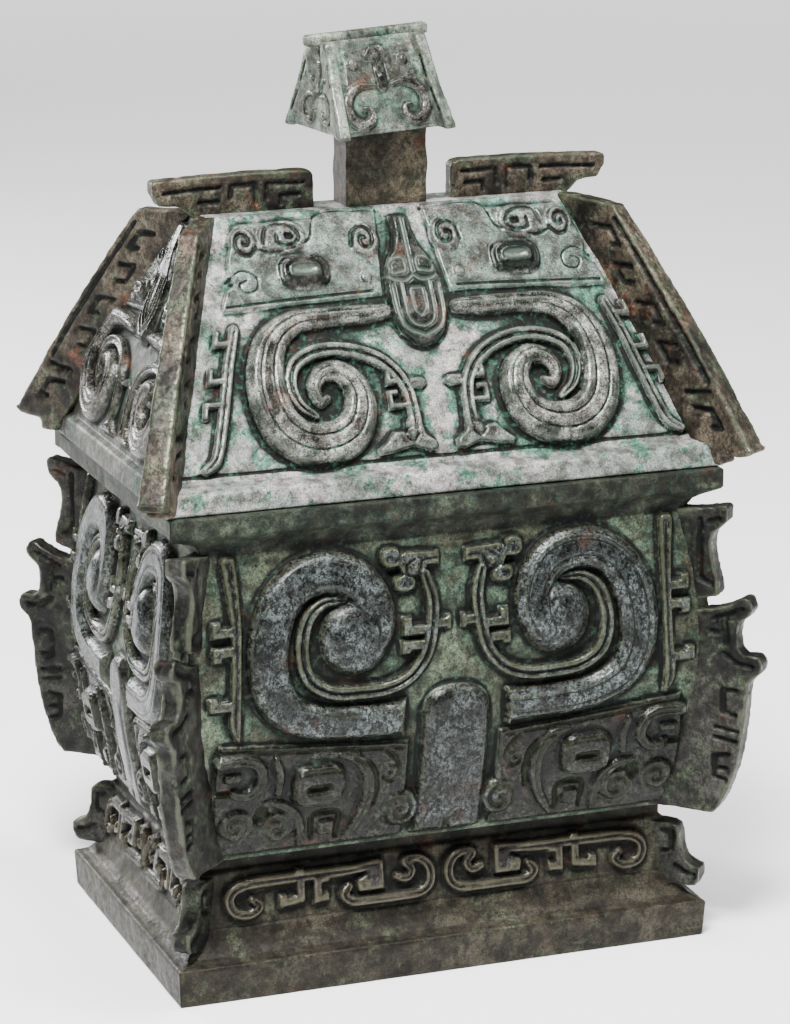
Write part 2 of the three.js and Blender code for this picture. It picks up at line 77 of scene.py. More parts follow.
def belly_level(z):
    """The belly swells like a barrel between its lower and its upper rectangle."""
    share = (z - belly_bottom) / (belly_top - belly_bottom)
    swell = math.sin(math.pi * share)
    return (z, 109 - 0.5 * share + 9.3 * swell, 73.5 + 8 * share + 11.3 * swell)


def roof_level(z):
    """The roof leans in from the eave to the ridge, and is a little full in the middle."""
    share = (z - roof_bottom) / (roof_top - roof_bottom)
    swell = 2.8 * math.sin(math.pi * share)
    return (z, 119.8 - 37.8 * share + swell, 74 - 64 * share + swell)


def between(levels, z):
    """The half width and half depth of a list of levels at any height."""
    heights = [level[0] for level in levels]
    return tuple(float(np.interp(z, heights, [level[k] for level in levels])) for k in (1, 2))


def finer(levels, spacing):
    """Adds levels until they are no further apart than the spacing."""
    rows = [levels[0]]
    for low, high in zip(levels[:-1], levels[1:]):
        steps = max(1, round(math.dist(low, high) / spacing))
        start, end = np.array(low), np.array(high)
        rows += [tuple(start + (end - start) * k / steps) for k in range(1, steps + 1)]
    return rows


print("belly at mid height", belly_level((belly_bottom + belly_top) / 2))

# %% [markdown]
# The relief was pressed into the clay mould, so its sides are steep and its tops are rounded. Here it is
# a height over a flat sheet: u runs across from the middle and v runs up. Each form asks how far inside
# its own edge a place lies, and rises from the ground over a rounded shoulder. The highest form wins.
# %% Measure how far inside a form a place lies
def smooth_line(points, steps=7):
    """A smooth line through points of across, up and half width."""
    p = np.array(points, float)
    ends = np.vstack([2 * p[0] - p[1], p, 2 * p[-1] - p[-2]])
    t = np.linspace(0, 1, steps, endpoint=False)[:, None]
    rows = [
        0.5 * (2 * b + (c - a) * t + (2 * a - 5 * b + 4 * c - d) * t**2 + (3 * b - a - 3 * c + d) * t**3)
        for a, b, c, d in zip(ends[:-3], ends[1:-2], ends[2:-1], ends[3:])
    ]
    return np.vstack(rows + [p[-1:]])


def reach(u, v, line):
    """The distance to a line of short straight lengths, and the half width at the nearest place."""
    nearest = np.full(u.shape, 1e9)
    width = np.zeros(u.shape)
    for a, b in zip(line[:-1], line[1:]):
        along = b[:2] - a[:2]
        share = np.clip(((u - a[0]) * along[0] + (v - a[1]) * along[1]) / max(along @ along, 1e-9), 0, 1)
        distance = np.hypot(u - a[0] - share * along[0], v - a[1] - share * along[1])
        closer = distance < nearest
        nearest[closer] = distance[closer]
        width[closer] = (a[2] + share * (b[2] - a[2]))[closer]
    return nearest, width


def inside_polygon(u, v, corners):
    """How far inside a straight-sided outline a place lies, below nought outside it."""
    ring = np.array(corners + corners[:1], float)
    within = np.zeros(u.shape, bool)
    nearest = np.full(u.shape, 1e9)
    for a, b in zip(ring[:-1], ring[1:]):
        along = b - a
        share = np.clip(((u - a[0]) * along[0] + (v - a[1]) * along[1]) / max(along @ along, 1e-9), 0, 1)
        nearest = np.minimum(nearest, np.hypot(u - a[0] - share * along[0], v - a[1] - share * along[1]))
        if a[1] != b[1]:
            crosses = (a[1] > v) != (b[1] > v)
            within ^= crosses & (u < a[0] + (v - a[1]) * along[0] / along[1])
    return np.where(within, nearest, -nearest)


def stroke_outline(points, width):
    """The outline of a stroke of even width, with square ends and square bends."""
    p = np.array(points, float)
    ways = np.diff(p, axis=0)
    ways = ways / np.hypot(ways[:, :1], ways[:, 1:])
    at_points = np.vstack([ways[:1], ways[:-1] + ways[1:], ways[-1:]])
    at_points = at_points / np.hypot(at_points[:, :1], at_points[:, 1:])
    slant = np.array([1.0, *(ways[1:] * at_points[1:-1]).sum(axis=1), 1.0])
    slant = np.maximum(slant, 0.5)[:, None]
    normal = np.stack([-at_points[:, 1], at_points[:, 0]], axis=-1) * width / 2 / slant
    return [tuple(q) for q in p + normal] + [tuple(q) for q in (p - normal)[::-1]]


print("a straight stroke has", len(stroke_outline([(0, 0), (10, 0)], 2)), "corners")

# %% [markdown]
# A carving holds the height of the relief at every place of one sheet. Bands are the horns and the
# dragons' bodies, plates are the jaws and the heads, bosses are eyes and knobs, and cut draws the fine
# engraved lines. Only the places near a form are worked out, which keeps a fine sheet quick.
# %% The tools that carve a sheet
class Carving:
    def __init__(self, u, v):
        self.u = u
        self.v = v
        self.height = np.zeros(u.shape)
        self.lines = np.zeros(u.shape)
        self.dark = np.zeros(u.shape)

    def near(self, points, margin):
        """The places within a margin of the box round some points."""
        p = np.array(points, float)
        return (
            (self.u > p[:, 0].min() - margin) & (self.u < p[:, 0].max() + margin)
            & (self.v > p[:, 1].min() - margin) & (self.v < p[:, 1].max() + margin)
        )

    def rise(self, at, inside, height, shoulder):
        """Lets a form rise over its rounded shoulder, where nothing higher stands."""
        share = 1 - np.clip(inside / shoulder, 0, 1)
        self.height[at] = np.maximum(self.height[at], height * (1 - share**2.6))

    def band(self, points, height, shoulder, lines=(), depth=0.45, square=False):
        """A smooth band through points of across, up and half width, with lines along it."""
        line = smooth_line(points)
        at = self.near(line, float(line[:, 2].max()) + 1)
        u, v = self.u[at], self.v[at]
        distance, width = reach(u, v, line)
        inside = width - distance
        if square:
            way = line[1, :2] - line[0, :2]
            way = way / np.hypot(*way)
            past = (u - line[0, 0]) * way[0] + (v - line[0, 1]) * way[1]
            inside = np.minimum(inside, past + 2 + np.where(distance > 3 * width, 99, 0))
            inside = np.where((past < 0) & (inside < past + 2), past + 2, inside)
            inside = np.where(distance > width, width - distance, inside)
        self.rise(at, inside, height, shoulder)
        for share in lines:
            mark = np.exp(-(((distance - share * width) / 0.6) ** 2)) * (inside > 0)
            self.lines[at] = np.maximum(self.lines[at], depth * mark)

    def plate(self, corners, height, shoulder):
        """A flat form with straight sides."""
        at = self.near(corners, 1)
        self.rise(at, inside_polygon(self.u[at], self.v[at], corners), height, shoulder)

    def stroke(self, points, width=4.7, height=3.5):
        """A hook with square bends and ends."""
        self.plate(stroke_outline(points, width), height, 1.1)

    def boss(self, u, v, across, up, height, shoulder, corner=2.0):
        """A round form, or a squarer one with a higher corner value."""
        at = self.near([(u - across, v - up), (u + across, v + up)], 1)
        size = (np.abs((self.u[at] - u) / across) ** corner + np.abs((self.v[at] - v) / up) ** corner)
        self.rise(at, (1 - size ** (1 / corner)) * min(across, up), height, shoulder)

    def pit(self, u, v, across, up, depth, corner=3.0):
        """A sunk place, such as a pupil."""
        at = self.near([(u - across, v - up), (u + across, v + up)], 1)
        size = (np.abs((self.u[at] - u) / across) ** corner + np.abs((self.v[at] - v) / up) ** corner)
        inside = (1 - size ** (1 / corner)) * min(across, up)
        self.lines[at] = np.maximum(self.lines[at], depth * np.clip(inside / 1.1, 0, 1))

    def cut(self, points, width=0.55, depth=0.6):
        """An engraved line."""
        line = smooth_line([(u, v, 1) for u, v in points])
        at = self.near(line, 3 * width)
        distance, _ = reach(self.u[at], self.v[at], line)
        self.lines[at] = np.maximum(self.lines[at], depth * np.exp(-((distance / width) ** 2)))

    def scroll(self, u, v, radius, height, turn=1, start=0.0):
        """A round boss with a spiral line that winds out from its middle."""
        self.boss(u, v, radius, radius, height, 0.5 * radius)
        turns = np.linspace(0.2, 1.5, 11)
        winding = [
            (u + radius * 0.54 * k * math.cos(start + turn * 2 * math.pi * k),
             v + radius * 0.54 * k * math.sin(start + turn * 2 * math.pi * k))
            for k in turns
        ]
        self.cut(winding, 0.12 * radius, 1.5)

    def darken(self, corners, share=1.0):
        """Marks a form that kept all or a share of its black skin."""
        at = self.near(corners, 1)
        inside = inside_polygon(self.u[at], self.v[at], corners)
        self.dark[at] = np.maximum(self.dark[at], share * np.clip(inside / 0.8, 0, 1))

    def result(self):
        """The finished height, how deep the engraving goes, and which forms are dark."""
        return np.stack([self.height - self.lines, self.lines, self.dark])


def height_at(mask, u, v):
    """How high a mask stands at one place of its sheet, in millimetres."""
    return round(float(mask(np.array([[u]]), np.array([[v]]))[0, 0, 0]), 1)


trial = Carving(*np.meshgrid(np.linspace(-9, 9, 37), np.linspace(-9, 9, 37)))
trial.scroll(0, 0, 8, 4)
print("a trial scroll rises to", round(float(trial.height.max()), 1), "mm")

# %% [markdown]
# The belly's mask: two horns that coil into round knobs, a ribbed tongue that slips into each coil and
# ends as a small dragon, an upright dragon at each edge, and below them the jaw with the eyes and the
# long nose. Half of it is drawn, and the sheet is folded along the middle to give the other half.
# %% Carve the belly's mask
def belly_mask(u, v):
    c = Carving(np.abs(u), v)
    horn = [(24, 59.5, 8), (44, 60, 8), (61, 61.5, 8.2), (75.5, 68.5, 9), (82.5, 82, 9.6), (82, 99, 9.8),
            (76.5, 113, 9.6), (67, 121.5, 9.4), (55.5, 123.5, 9.4), (44.5, 120.5, 9.4), (37, 112, 9.2),
            (34.5, 101, 8.4), (38, 91, 7)]
    c.band(horn, 5.8, 5.4, lines=(0.35, 0.7), depth=0.6, square=True)
    c.lines *= np.where(u > 0, 1.0, 0.3)
    c.boss(45, 96, 16.3, 16.3, 7.2, 13)
    c.cut([(51, 111), (40, 110), (35, 101), (37, 92), (45, 87.5), (52, 91), (53.5, 98), (49, 102.5)], 0.8,
          0.35)
    tongue = [(49, 112, 1.6), (58, 111.5, 2.6), (65.5, 105, 3.3), (68.3, 92, 3.4), (65.2, 80.5, 3.4),
              (56, 74.3, 3.4), (44, 73, 3.3), (31, 73.4, 3.2), (21, 77.5, 3.1), (14, 86, 3.1), (11, 97, 3.1),
              (10, 109, 3), (12.6, 119, 2.6)]
    c.band(tongue, 3.9, 1.3, lines=(0.0,), depth=1.7)
    c.stroke([(11, 96.5), (21.6, 96.5), (21.6, 102.4)])
    c.stroke([(12, 90.3), (22.4, 90.3), (22.4, 86.6)])
    c.stroke([(10, 98.6), (3.4, 98.6)])
    c.stroke([(3.4, 95.2), (3.4, 102)], 2.8)
    c.plate([(5.4, 122.4), (5.4, 128.6), (22, 129.4), (25, 124), (22, 118), (13, 118), (11, 122.4)], 3.2, 1.3)
    c.boss(27.2, 127, 4.8, 4.6, 3.8, 1.8, 2.6)
    c.boss(21.8, 116.2, 5.6, 3.9, 3.8, 1.8, 2.6)
    c.boss(17.2, 122, 2.4, 2.4, 5.4, 2.0)
    c.pit(25.6, 121, 2.8, 1.5, 2.2)
    c.cut([(7, 125.4), (13, 125), (14.4, 122), (16, 118.8), (20, 119.4), (20.4, 123), (17, 125.6)], 0.55, 0.9)
    c.band([(96, 58, 1.4), (97.6, 66, 3), (96.6, 84, 2.6), (96, 108, 2.8), (97.5, 131, 3.6)], 3.2, 1.4,
           lines=(0.0,), depth=0.8)
    c.stroke([(97, 103.6), (104.6, 103.6), (104.6, 108.4)])
    c.stroke([(97, 95.6), (104.8, 95.6), (104.8, 91)])
    c.stroke([(98, 73), (107, 73), (107, 77)])
    jaw = [(20, 3), (20, 48.5), (58, 51.5), (104, 55.5), (106, 40), (105, 3)]
    c.plate(jaw, 2.4, 1.6)
    c.darken(jaw)
    c.cut([(23, 46.0), (58, 48.7), (104, 52.7)], 0.6, 1.2)
    c.boss(60.5, 33.8, 12.6, 9.9, 7.0, 2.6, 3.6)
    c.cut([(50.4, 34), (50.6, 39.6), (55, 41.2), (66, 41.2), (70.4, 39.6), (70.6, 28), (66, 26.4), (55, 26.4),
           (50.6, 28), (50.4, 34)], 0.6, 1.0)
    c.pit(60.5, 33.6, 6.6, 2.3, 3.4, 5)
    c.scroll(22.5, 17, 9.3, 5.2, -1, 2.6)
    c.scroll(95.5, 18, 9.6, 4.6, 1, 2.6)
    c.scroll(77, 15, 9.8, 4.4, -1, 0.6)
    c.band([(104, 48.6, 2.6), (94, 49, 2.8), (87, 45.6, 2.8), (85.6, 38.6, 2.8), (90.5, 33.4, 2.6),
            (98, 34, 2.3)], 5.2, 1.2, lines=(0.0,), depth=0.9)
    c.stroke([(94.4, 41.4), (102.4, 41.4)], 4.2, 5.0)
    c.pit(101.5, 34, 5.5, 1.7, 2.6, 4)
    c.band([(51, 46.4, 1.6), (43.6, 43.6, 2.5), (38.6, 36, 2.9), (38, 26, 2.9), (41, 16, 2.6),
            (47, 6.6, 1.6)], 5.0, 1.2, lines=(0.0,), depth=0.9)
    c.cut([(45, 44.6), (36.5, 39), (33.4, 30), (34.5, 21)], 0.9, 1.8)
    c.boss(27, 34.5, 4.6, 4.2, 3.4, 2, 3)
    c.pit(28.5, 35.5, 2.4, 1.5, 1.6)
    c.boss(55.5, 13, 4, 4, 4.4, 1.2, 5)
    c.cut([(50, 7.4), (50, 18.4), (61, 18.4), (61, 7.4)], 1.0, 2.1)
    c.pit(84, 21.5, 3.4, 4.6, 2.2)
    c.cut([(30, 45), (26, 41.4), (24, 36), (27, 31.4), (31, 33)], 1.0, 1.9)
    c.band([(84, 27.6, 1.4), (76, 26.4, 2.2), (69.4, 20.6, 2.5), (66.6, 12.6, 2.3), (66.6, 6.6, 1.8)], 4.8,
           1.2, lines=(0.0,), depth=0.9)
    c.band([(79.4, 47.4, 1.8), (77.4, 40, 2.2), (78, 32.6, 2)], 4.6, 1.1)
    c.plate([(0, 3), (0, 62), (15.5, 62), (16, 3)], 4.4, 4.6)
    c.boss(0, 58, 15.8, 14.2, 5.0, 7, 2.5)
    c.boss(0, 36, 13.5, 34, 5.4, 9, 2.6)
    c.darken([(-16, 3), (-15.5, 73), (15.5, 73), (16, 3)], 0.4)
    return c.result()


print("belly: horn", height_at(belly_mask, 82, 99), "mm, nose", height_at(belly_mask, 0, 40), "mm")

# %% [markdown]
# The roof's masks hang the other way up, as if the horns had been folded down from the ridge. Here the
# horns carry engraved lines, and their ends wind into true spirals. A shield-shaped nose comes down from
# the ridge between two eyes, and the broad front has ears and an upright dragon at each edge as well.
# %% Carve the roof's masks
front_shift = 3.2


def roof_mask(u, v):
    c = Carving(np.abs(u - front_shift), v)
    c.plate([(15, 63.5), (50, 62.5), (87, 61.3), (83, 70), (79.5, 71.5), (80.5, 79), (74, 94), (40, 94),
             (33, 97.5), (10, 97.5)], 1.5, 1.1)
    c.cut([(19, 65.6), (50, 64.8), (84, 63.6)], 0.6, 1.0)
    horn = [(16, 57.5, 3.2), (27, 57, 4.2), (43, 57, 4.4), (58, 55.5, 5.4), (69, 48, 7.6), (74, 34, 9.2),
            (71.5, 19.5, 9.6), (62, 11.5, 9.2), (50, 10.5, 8.9), (39.5, 15, 8.6), (35, 24, 8),
            (36.8, 32, 6.6), (43, 36.6, 5.2), (50, 35.8, 4.4), (53.8, 31, 3.9), (52.2, 26.4, 3.2),
            (48.6, 27, 2.2)]
    c.band(horn, 6.2, 5.2, lines=(0.3,), depth=0.7)
    for across in (51, 54):
        c.cut([(across, 3), (across, 8)], 0.5, 0.5)
    tongue = [(55, 20.5, 1.6), (61, 25, 2.4), (63.6, 32, 2.9), (61, 39.5, 3.1), (53, 43.8, 3.1),
              (42, 44.8, 3.1), (30, 42.5, 3.1), (20, 37, 3.1), (13.8, 28.5, 3), (12.5, 18.5, 3),
              (12.7, 13, 3)]
    c.band(tongue, 3.9, 1.3, lines=(0.0,), depth=1.7)
    c.stroke([(14, 31), (21, 31), (21, 35.4)], 2.6)
    c.stroke([(13, 22), (21.4, 22), (21.4, 27), (17.6, 27)], 2.4)
    c.plate([(12, 27.4), (6, 28), (3.2, 30.2), (6, 32.4), (12, 32.2)], 2.9, 1.1)
    head = [(9.5, 17), (16, 17.5), (17.5, 12.5), (23, 12.8), (27, 9), (31, 6.4), (30, 4.2), (24, 4.6),
            (15, 6.2), (8, 4), (4, 4.6), (4.4, 8), (8.6, 11)]
    c.plate(head, 3.1, 1.5)
    c.boss(15, 10.6, 2.3, 2.3, 4.6, 2.2)
    c.cut([(12.2, 10.5), (15, 13.6), (18, 10.8), (15, 7.8), (12.2, 10.5)], 0.45, 0.8)
    strip = [(83, 55, 2.3), (88, 43, 2.6), (92.3, 30, 2.7), (96.4, 18, 2.7), (100.5, 8, 2.5), (106, 4, 2)]
    c.band(strip, 3.3, 1.4, lines=(0.0,), depth=0.8)
    c.stroke([(86, 50), (92.4, 50), (90.6, 55)], 2.6)
    c.stroke([(91, 36.6), (97.6, 36.6), (96.2, 41.6)], 2.6)
    c.stroke([(94, 28), (101, 28), (102.6, 22.6)], 2.6)
    nose_u = np.abs(u - front_shift + 1.0)
    n = Carving(nose_u, v)
    shield = [(0, 43), (5, 44.2), (10, 48.5), (12.9, 55), (13.3, 64), (12.2, 72), (9.4, 77), (6.4, 81),
              (4.8, 86), (4.4, 93), (0, 93)]
    shield = [(-u0, v0) for u0, v0 in reversed(shield)][:-1] + shield
    n.plate(shield, 4.4, 2.4)
    n.darken(shield)
    n.cut([(10.2, 66), (10, 56), (7.4, 50), (0, 46.6)], 0.6, 1.3)
    n.cut([(6.3, 66.4), (6.2, 56), (4, 51.6), (0, 50.2)], 0.5, 1.2)
    n.cut([(0, 64.6), (2.6, 64), (2.6, 57), (0, 54.2)], 0.5, 1.1)
    n.cut([(0, 69.6), (3.6, 67.6), (8.6, 68.2), (12.4, 70.6)], 0.6, 1.3)
    n.cut([(2.6, 71.4), (3, 76), (7, 76.2), (9.6, 74), (8.6, 70.8), (2.6, 71.4)], 0.55, 1.2)
    n.cut([(0, 71), (0, 92)], 0.6, 1.2)
    c.boss(21, 70.5, 3, 2.6, 2.6, 1.4)
    c.scroll(18.5, 84.6, 7.4, 3.1, -1, 2.9)
    c.boss(54, 87.7, 11.5, 6.8, 2.6, 1.8, 2.4)
    c.cut([(63, 86), (60, 92), (52, 92.5), (46.8, 88), (50, 84.5), (56, 85.2), (56.5, 88.5)], 0.8, 1.2)
    c.pit(51, 88, 2.6, 1.8, 2)
    c.scroll(71.3, 86.6, 6.6, 2.8, -1, 0.4)
    c.boss(47.5, 74.2, 12.5, 7.4, 2.6, 2, 2.8)
    c.boss(47.5, 74.4, 10.6, 5.9, 4.8, 4.4, 2.6)
    c.pit(47.5, 74.4, 6.4, 1.9, 1.6, 4)
    c.cut([(82, 73), (75, 76.5), (69, 74), (69.5, 69.5), (74.5, 68.5), (76.5, 71.5), (73, 73)], 0.5, 0.7)
    c.cut([(10, 95.3), (36, 95.6), (43, 86), (58, 82.3), (66, 84)], 0.5, 0.8)
    c.darken([(35.5, 68), (35.5, 80.6), (59.5, 80.6), (59.5, 68)])
    carved = np.where(n.height > 0.4, n.result(), c.result())
    border = 0.9 * np.exp(-(((v - 2.6) / 0.7) ** 2))
    return carved + np.stack([-border, border, 0 * border])


def gable_mask(u, v):
    c = Carving(np.abs(u), v)
    c.plate([(12, 54.5), (42, 52), (38, 62), (26, 78), (14, 93), (4, 93)], 1.5, 1.1)
    c.cut([(14, 56.4), (40, 54)], 0.5, 0.7)
    horn = [(12, 47.5, 3), (20, 48, 3.8), (32, 48, 4.2), (43, 45.5, 5.2), (50.5, 36, 6.6), (51.5, 23, 7.3),
            (45.5, 12.5, 7.3), (35.5, 9.5, 7.1), (27, 14, 6.6), (24, 22, 5.8), (26, 28.5, 4.8),
            (31.5, 31.8, 3.8), (36.5, 29.5, 3.1), (36.5, 25, 2.5), (33.5, 24, 1.8)]
    c.band(horn, 5.4, 4.2, lines=(0.3,), depth=0.7)
    tongue = [(38, 17.5, 1.3), (43, 21.5, 1.9), (44, 29, 2.3), (39.5, 36.5, 2.5), (29, 38.5, 2.5),
              (18, 35.5, 2.4), (11, 28, 2.4), (9, 18, 2.3), (9.5, 9, 2.3)]
    c.band(tongue, 3.5, 1.2, lines=(0.0,), depth=1.4)
    c.band([(10, 27, 1.5), (15.5, 26, 1.4), (17, 29, 1.2)], 2.6, 1.0)
    c.band([(9, 25, 1.5), (5, 25.5, 1.3), (3, 27, 1)], 2.6, 1.0)
    c.plate([(3, 3.5), (7, 10), (12, 10.5), (14, 7), (20, 5.5), (19, 3)], 2.9, 1.3)
    c.boss(10, 6.8, 1.7, 1.7, 4.2, 1.6)
    shield = [(-9, 50), (-9, 70), (-4, 82), (-4, 93), (4, 93), (4, 82), (9, 70), (9, 50), (5, 43.5),
              (-5, 43.5)]
    c.plate(shield, 4.2, 2.2)
    c.darken(shield)
    for inset in (2.4, 4.8, 7.0):
        c.cut([(9 - inset, 70), (9 - inset, 52 + inset), (0, 45 + 1.2 * inset)], 0.55, 1.2)
    c.boss(22, 62, 8.2, 6.2, 2.6, 1.8, 2.6)
    c.boss(22, 62, 6.8, 4.8, 4.6, 3.6, 2.4)
    c.pit(22, 62, 4, 1.5, 1.5, 4)
    c.scroll(13.5, 78, 4.6, 2.7, -1, 2.9)
    return c.result()


print("roof: horn", height_at(roof_mask, 77, 34), "mm, gable: horn", height_at(gable_mask, 51, 30), "mm")

# %% [markdown]
# The foot wears one long low dragon on each side of the middle, with a hooked trunk and curled tail.
# The knob repeats the roof's mask at a fifth of its size, with round eyes.
# %% Carve the foot and the knob
def foot_frieze(u, v):
    c = Carving(np.abs(u), v)
    back = [(28, 18.6, 2.4), (45, 17.4, 2.6), (70, 17.4, 2.6), (88, 16.6, 2.6), (94.6, 12.5, 2.6),
            (93, 6, 2.6), (86.5, 4, 2.4), (81.5, 7, 2.2), (84.5, 10, 1.6)]
    trunk = [(19, 12, 2.1), (15, 11, 2.2), (12.6, 14.4, 2.1), (15.5, 18.4, 2.2), (9, 18.8, 2.3),
             (4.6, 14.5, 2.5), (4.6, 8, 2.5), (9, 4.2, 2.5), (18, 3.6, 2.5), (32, 3.6, 2.5), (40, 4, 2.6),
             (43.6, 7.4, 2.5), (41, 10.6, 1.8)]
    c.band(back, 3.5, 1.4, lines=(0.0,), depth=1.2)
    c.band(trunk, 3.5, 1.4, lines=(0.0,), depth=1.2)
    c.plate([(25, 7), (25, 20.6), (31.5, 21), (33, 15.6), (38.4, 13), (37.4, 7)], 3.4, 1.4)
    c.stroke([(50, 16), (55.4, 15), (55.4, 7), (50, 7.6)], 4.4, 3.4)
    c.stroke([(63, 21.4), (63, 8), (71, 7), (71, 11)], 4.4, 3.4)
    c.boss(33, 11.4, 2.4, 2.2, 4.4, 1.6)
    return c.result()


def knob_mask(u, v):
    c = Carving(np.abs(u), v)
    c.plate([(3, 20), (17, 18.5), (15.5, 27), (15, 34), (2, 34)], 0.8, 0.6)
    horn = [(4, 19, 1.2), (9.5, 19.6, 1.7), (15.5, 17.2, 2.2), (18.2, 11.5, 2.5), (16.2, 6, 2.5),
            (11.5, 3.8, 2.4), (7.6, 6.4, 2.1), (8.2, 10, 1.6), (11, 10.6, 1.2)]
    c.band(horn, 2.1, 2.0, lines=(0.3,), depth=0.3)
    c.plate([(-2.2, 17.5), (-2.6, 27), (-6, 31), (-3, 34.5), (3, 34.5), (6, 31), (2.6, 27), (2.2, 17.5),
             (0, 16)], 1.7, 0.9)
    c.darken([(-2.4, 17), (-2.6, 30), (2.6, 30), (2.4, 17)])
    c.boss(0, 22, 1.6, 1.6, 2.3, 1.1)
    c.boss(11.6, 27.8, 2.7, 2.7, 2.6, 2.4)
    c.cut([(1, 24), (3, 29), (5, 32)], 0.35, 0.5)
    return c.result()


def knob_side_mask(u, v):
    c = Carving(np.abs(u), v)
    c.band([(3, 15, 1.2), (8, 15.5, 1.6), (12.5, 11.5, 2), (12, 6, 2.1), (7.5, 4.6, 1.8), (5.5, 8, 1.4)],
           1.9, 1.6)
    c.plate([(-1.8, 16), (-2, 30), (2, 30), (1.8, 16)], 1.5, 0.8)
    c.boss(5.6, 22, 1.8, 1.8, 2, 1.5)
    return c.result()


print("foot: dragon's head", height_at(foot_frieze, 29, 15), "mm")

# %% [markdown]
# No cast wall is truly flat. Long waves come from the clay mould, and small dents from three thousand
# years in the ground. Both are a sum of waves in chosen directions, from a seeded generator, so the
# same dents come back on every run.
# %% Unevenness of a cast wall
def waves(u, v, size, seed):
    """A soft uneven field of about one unit, with lumps of about the given size in millimetres."""
    chance = np.random.default_rng(seed)
    total = np.zeros(u.shape)
    for _ in range(10):
        angle = chance.uniform(0, 2 * math.pi)
        length = size * chance.uniform(0.7, 1.6)
        phase = chance.uniform(0, 2 * math.pi)
        total += np.sin((u * math.cos(angle) + v * math.sin(angle)) * 2 * math.pi / length + phase)
    return total / math.sqrt(10)


def uneven(u, v, seed):
    dents = np.clip(waves(u, v, 5.5, seed + 2) - 1.5, 0, None)
    return 0.22 * waves(u, v, 34, seed) + 0.07 * waves(u, v, 9, seed + 1) - 0.35 * dents


patch = uneven(*np.meshgrid(np.arange(0.0, 100, 2), np.arange(0.0, 100, 2)), 11)
print("a palm's width of wall wanders by", round(float(np.ptp(patch)), 2), "mm")

# %% [markdown]
# A carved wall is a slab: a fine outer skin that follows the profile and the relief, and a plain inner
# face at the wall's true thickness, cut at the corners like a picture frame. A grid of the right
# fineness is laid out by rows and columns, because hand tools can't draw spirals as evenly as a sheet of
# heights can. Each point also keeps five numbers for the patina: how high it stands, how deep in a
# hollow or in painted shade it lies, how near a form it is, how deep it is engraved, and whether its
# skin stayed black.
# %% Build one carved wall
corner_fade = 3.5
fine_reach = 1.8
halo_reach = 4.5


def softened(field, reach_rows):
    """The field with each point averaged over its neighbours."""
    total = field.copy()
    for axis in (0, 1):
        margins = [(reach_rows, reach_rows) if k == axis else (0, 0) for k in (0, 1)]
        padded = np.pad(total, margins, mode="edge")
        window = 2 * reach_rows + 1
        summed = np.cumsum(padded, axis=axis)
        first = np.zeros_like(np.take(summed, [0], axis=axis))
        summed = np.concatenate([first, summed], axis=axis)
        count = total.shape[axis]
        upper = np.take(summed, range(window, window + count), axis=axis)
        lower = np.take(summed, range(count), axis=axis)
        total = (upper - lower) / window
    return total


def store(mesh, name, values):
    """Keeps one number per point on the mesh, for the materials to read."""
    attribute = mesh.attributes.new(name, "FLOAT", "POINT")
    attribute.data.foreach_set("value", np.asarray(values, np.float32))


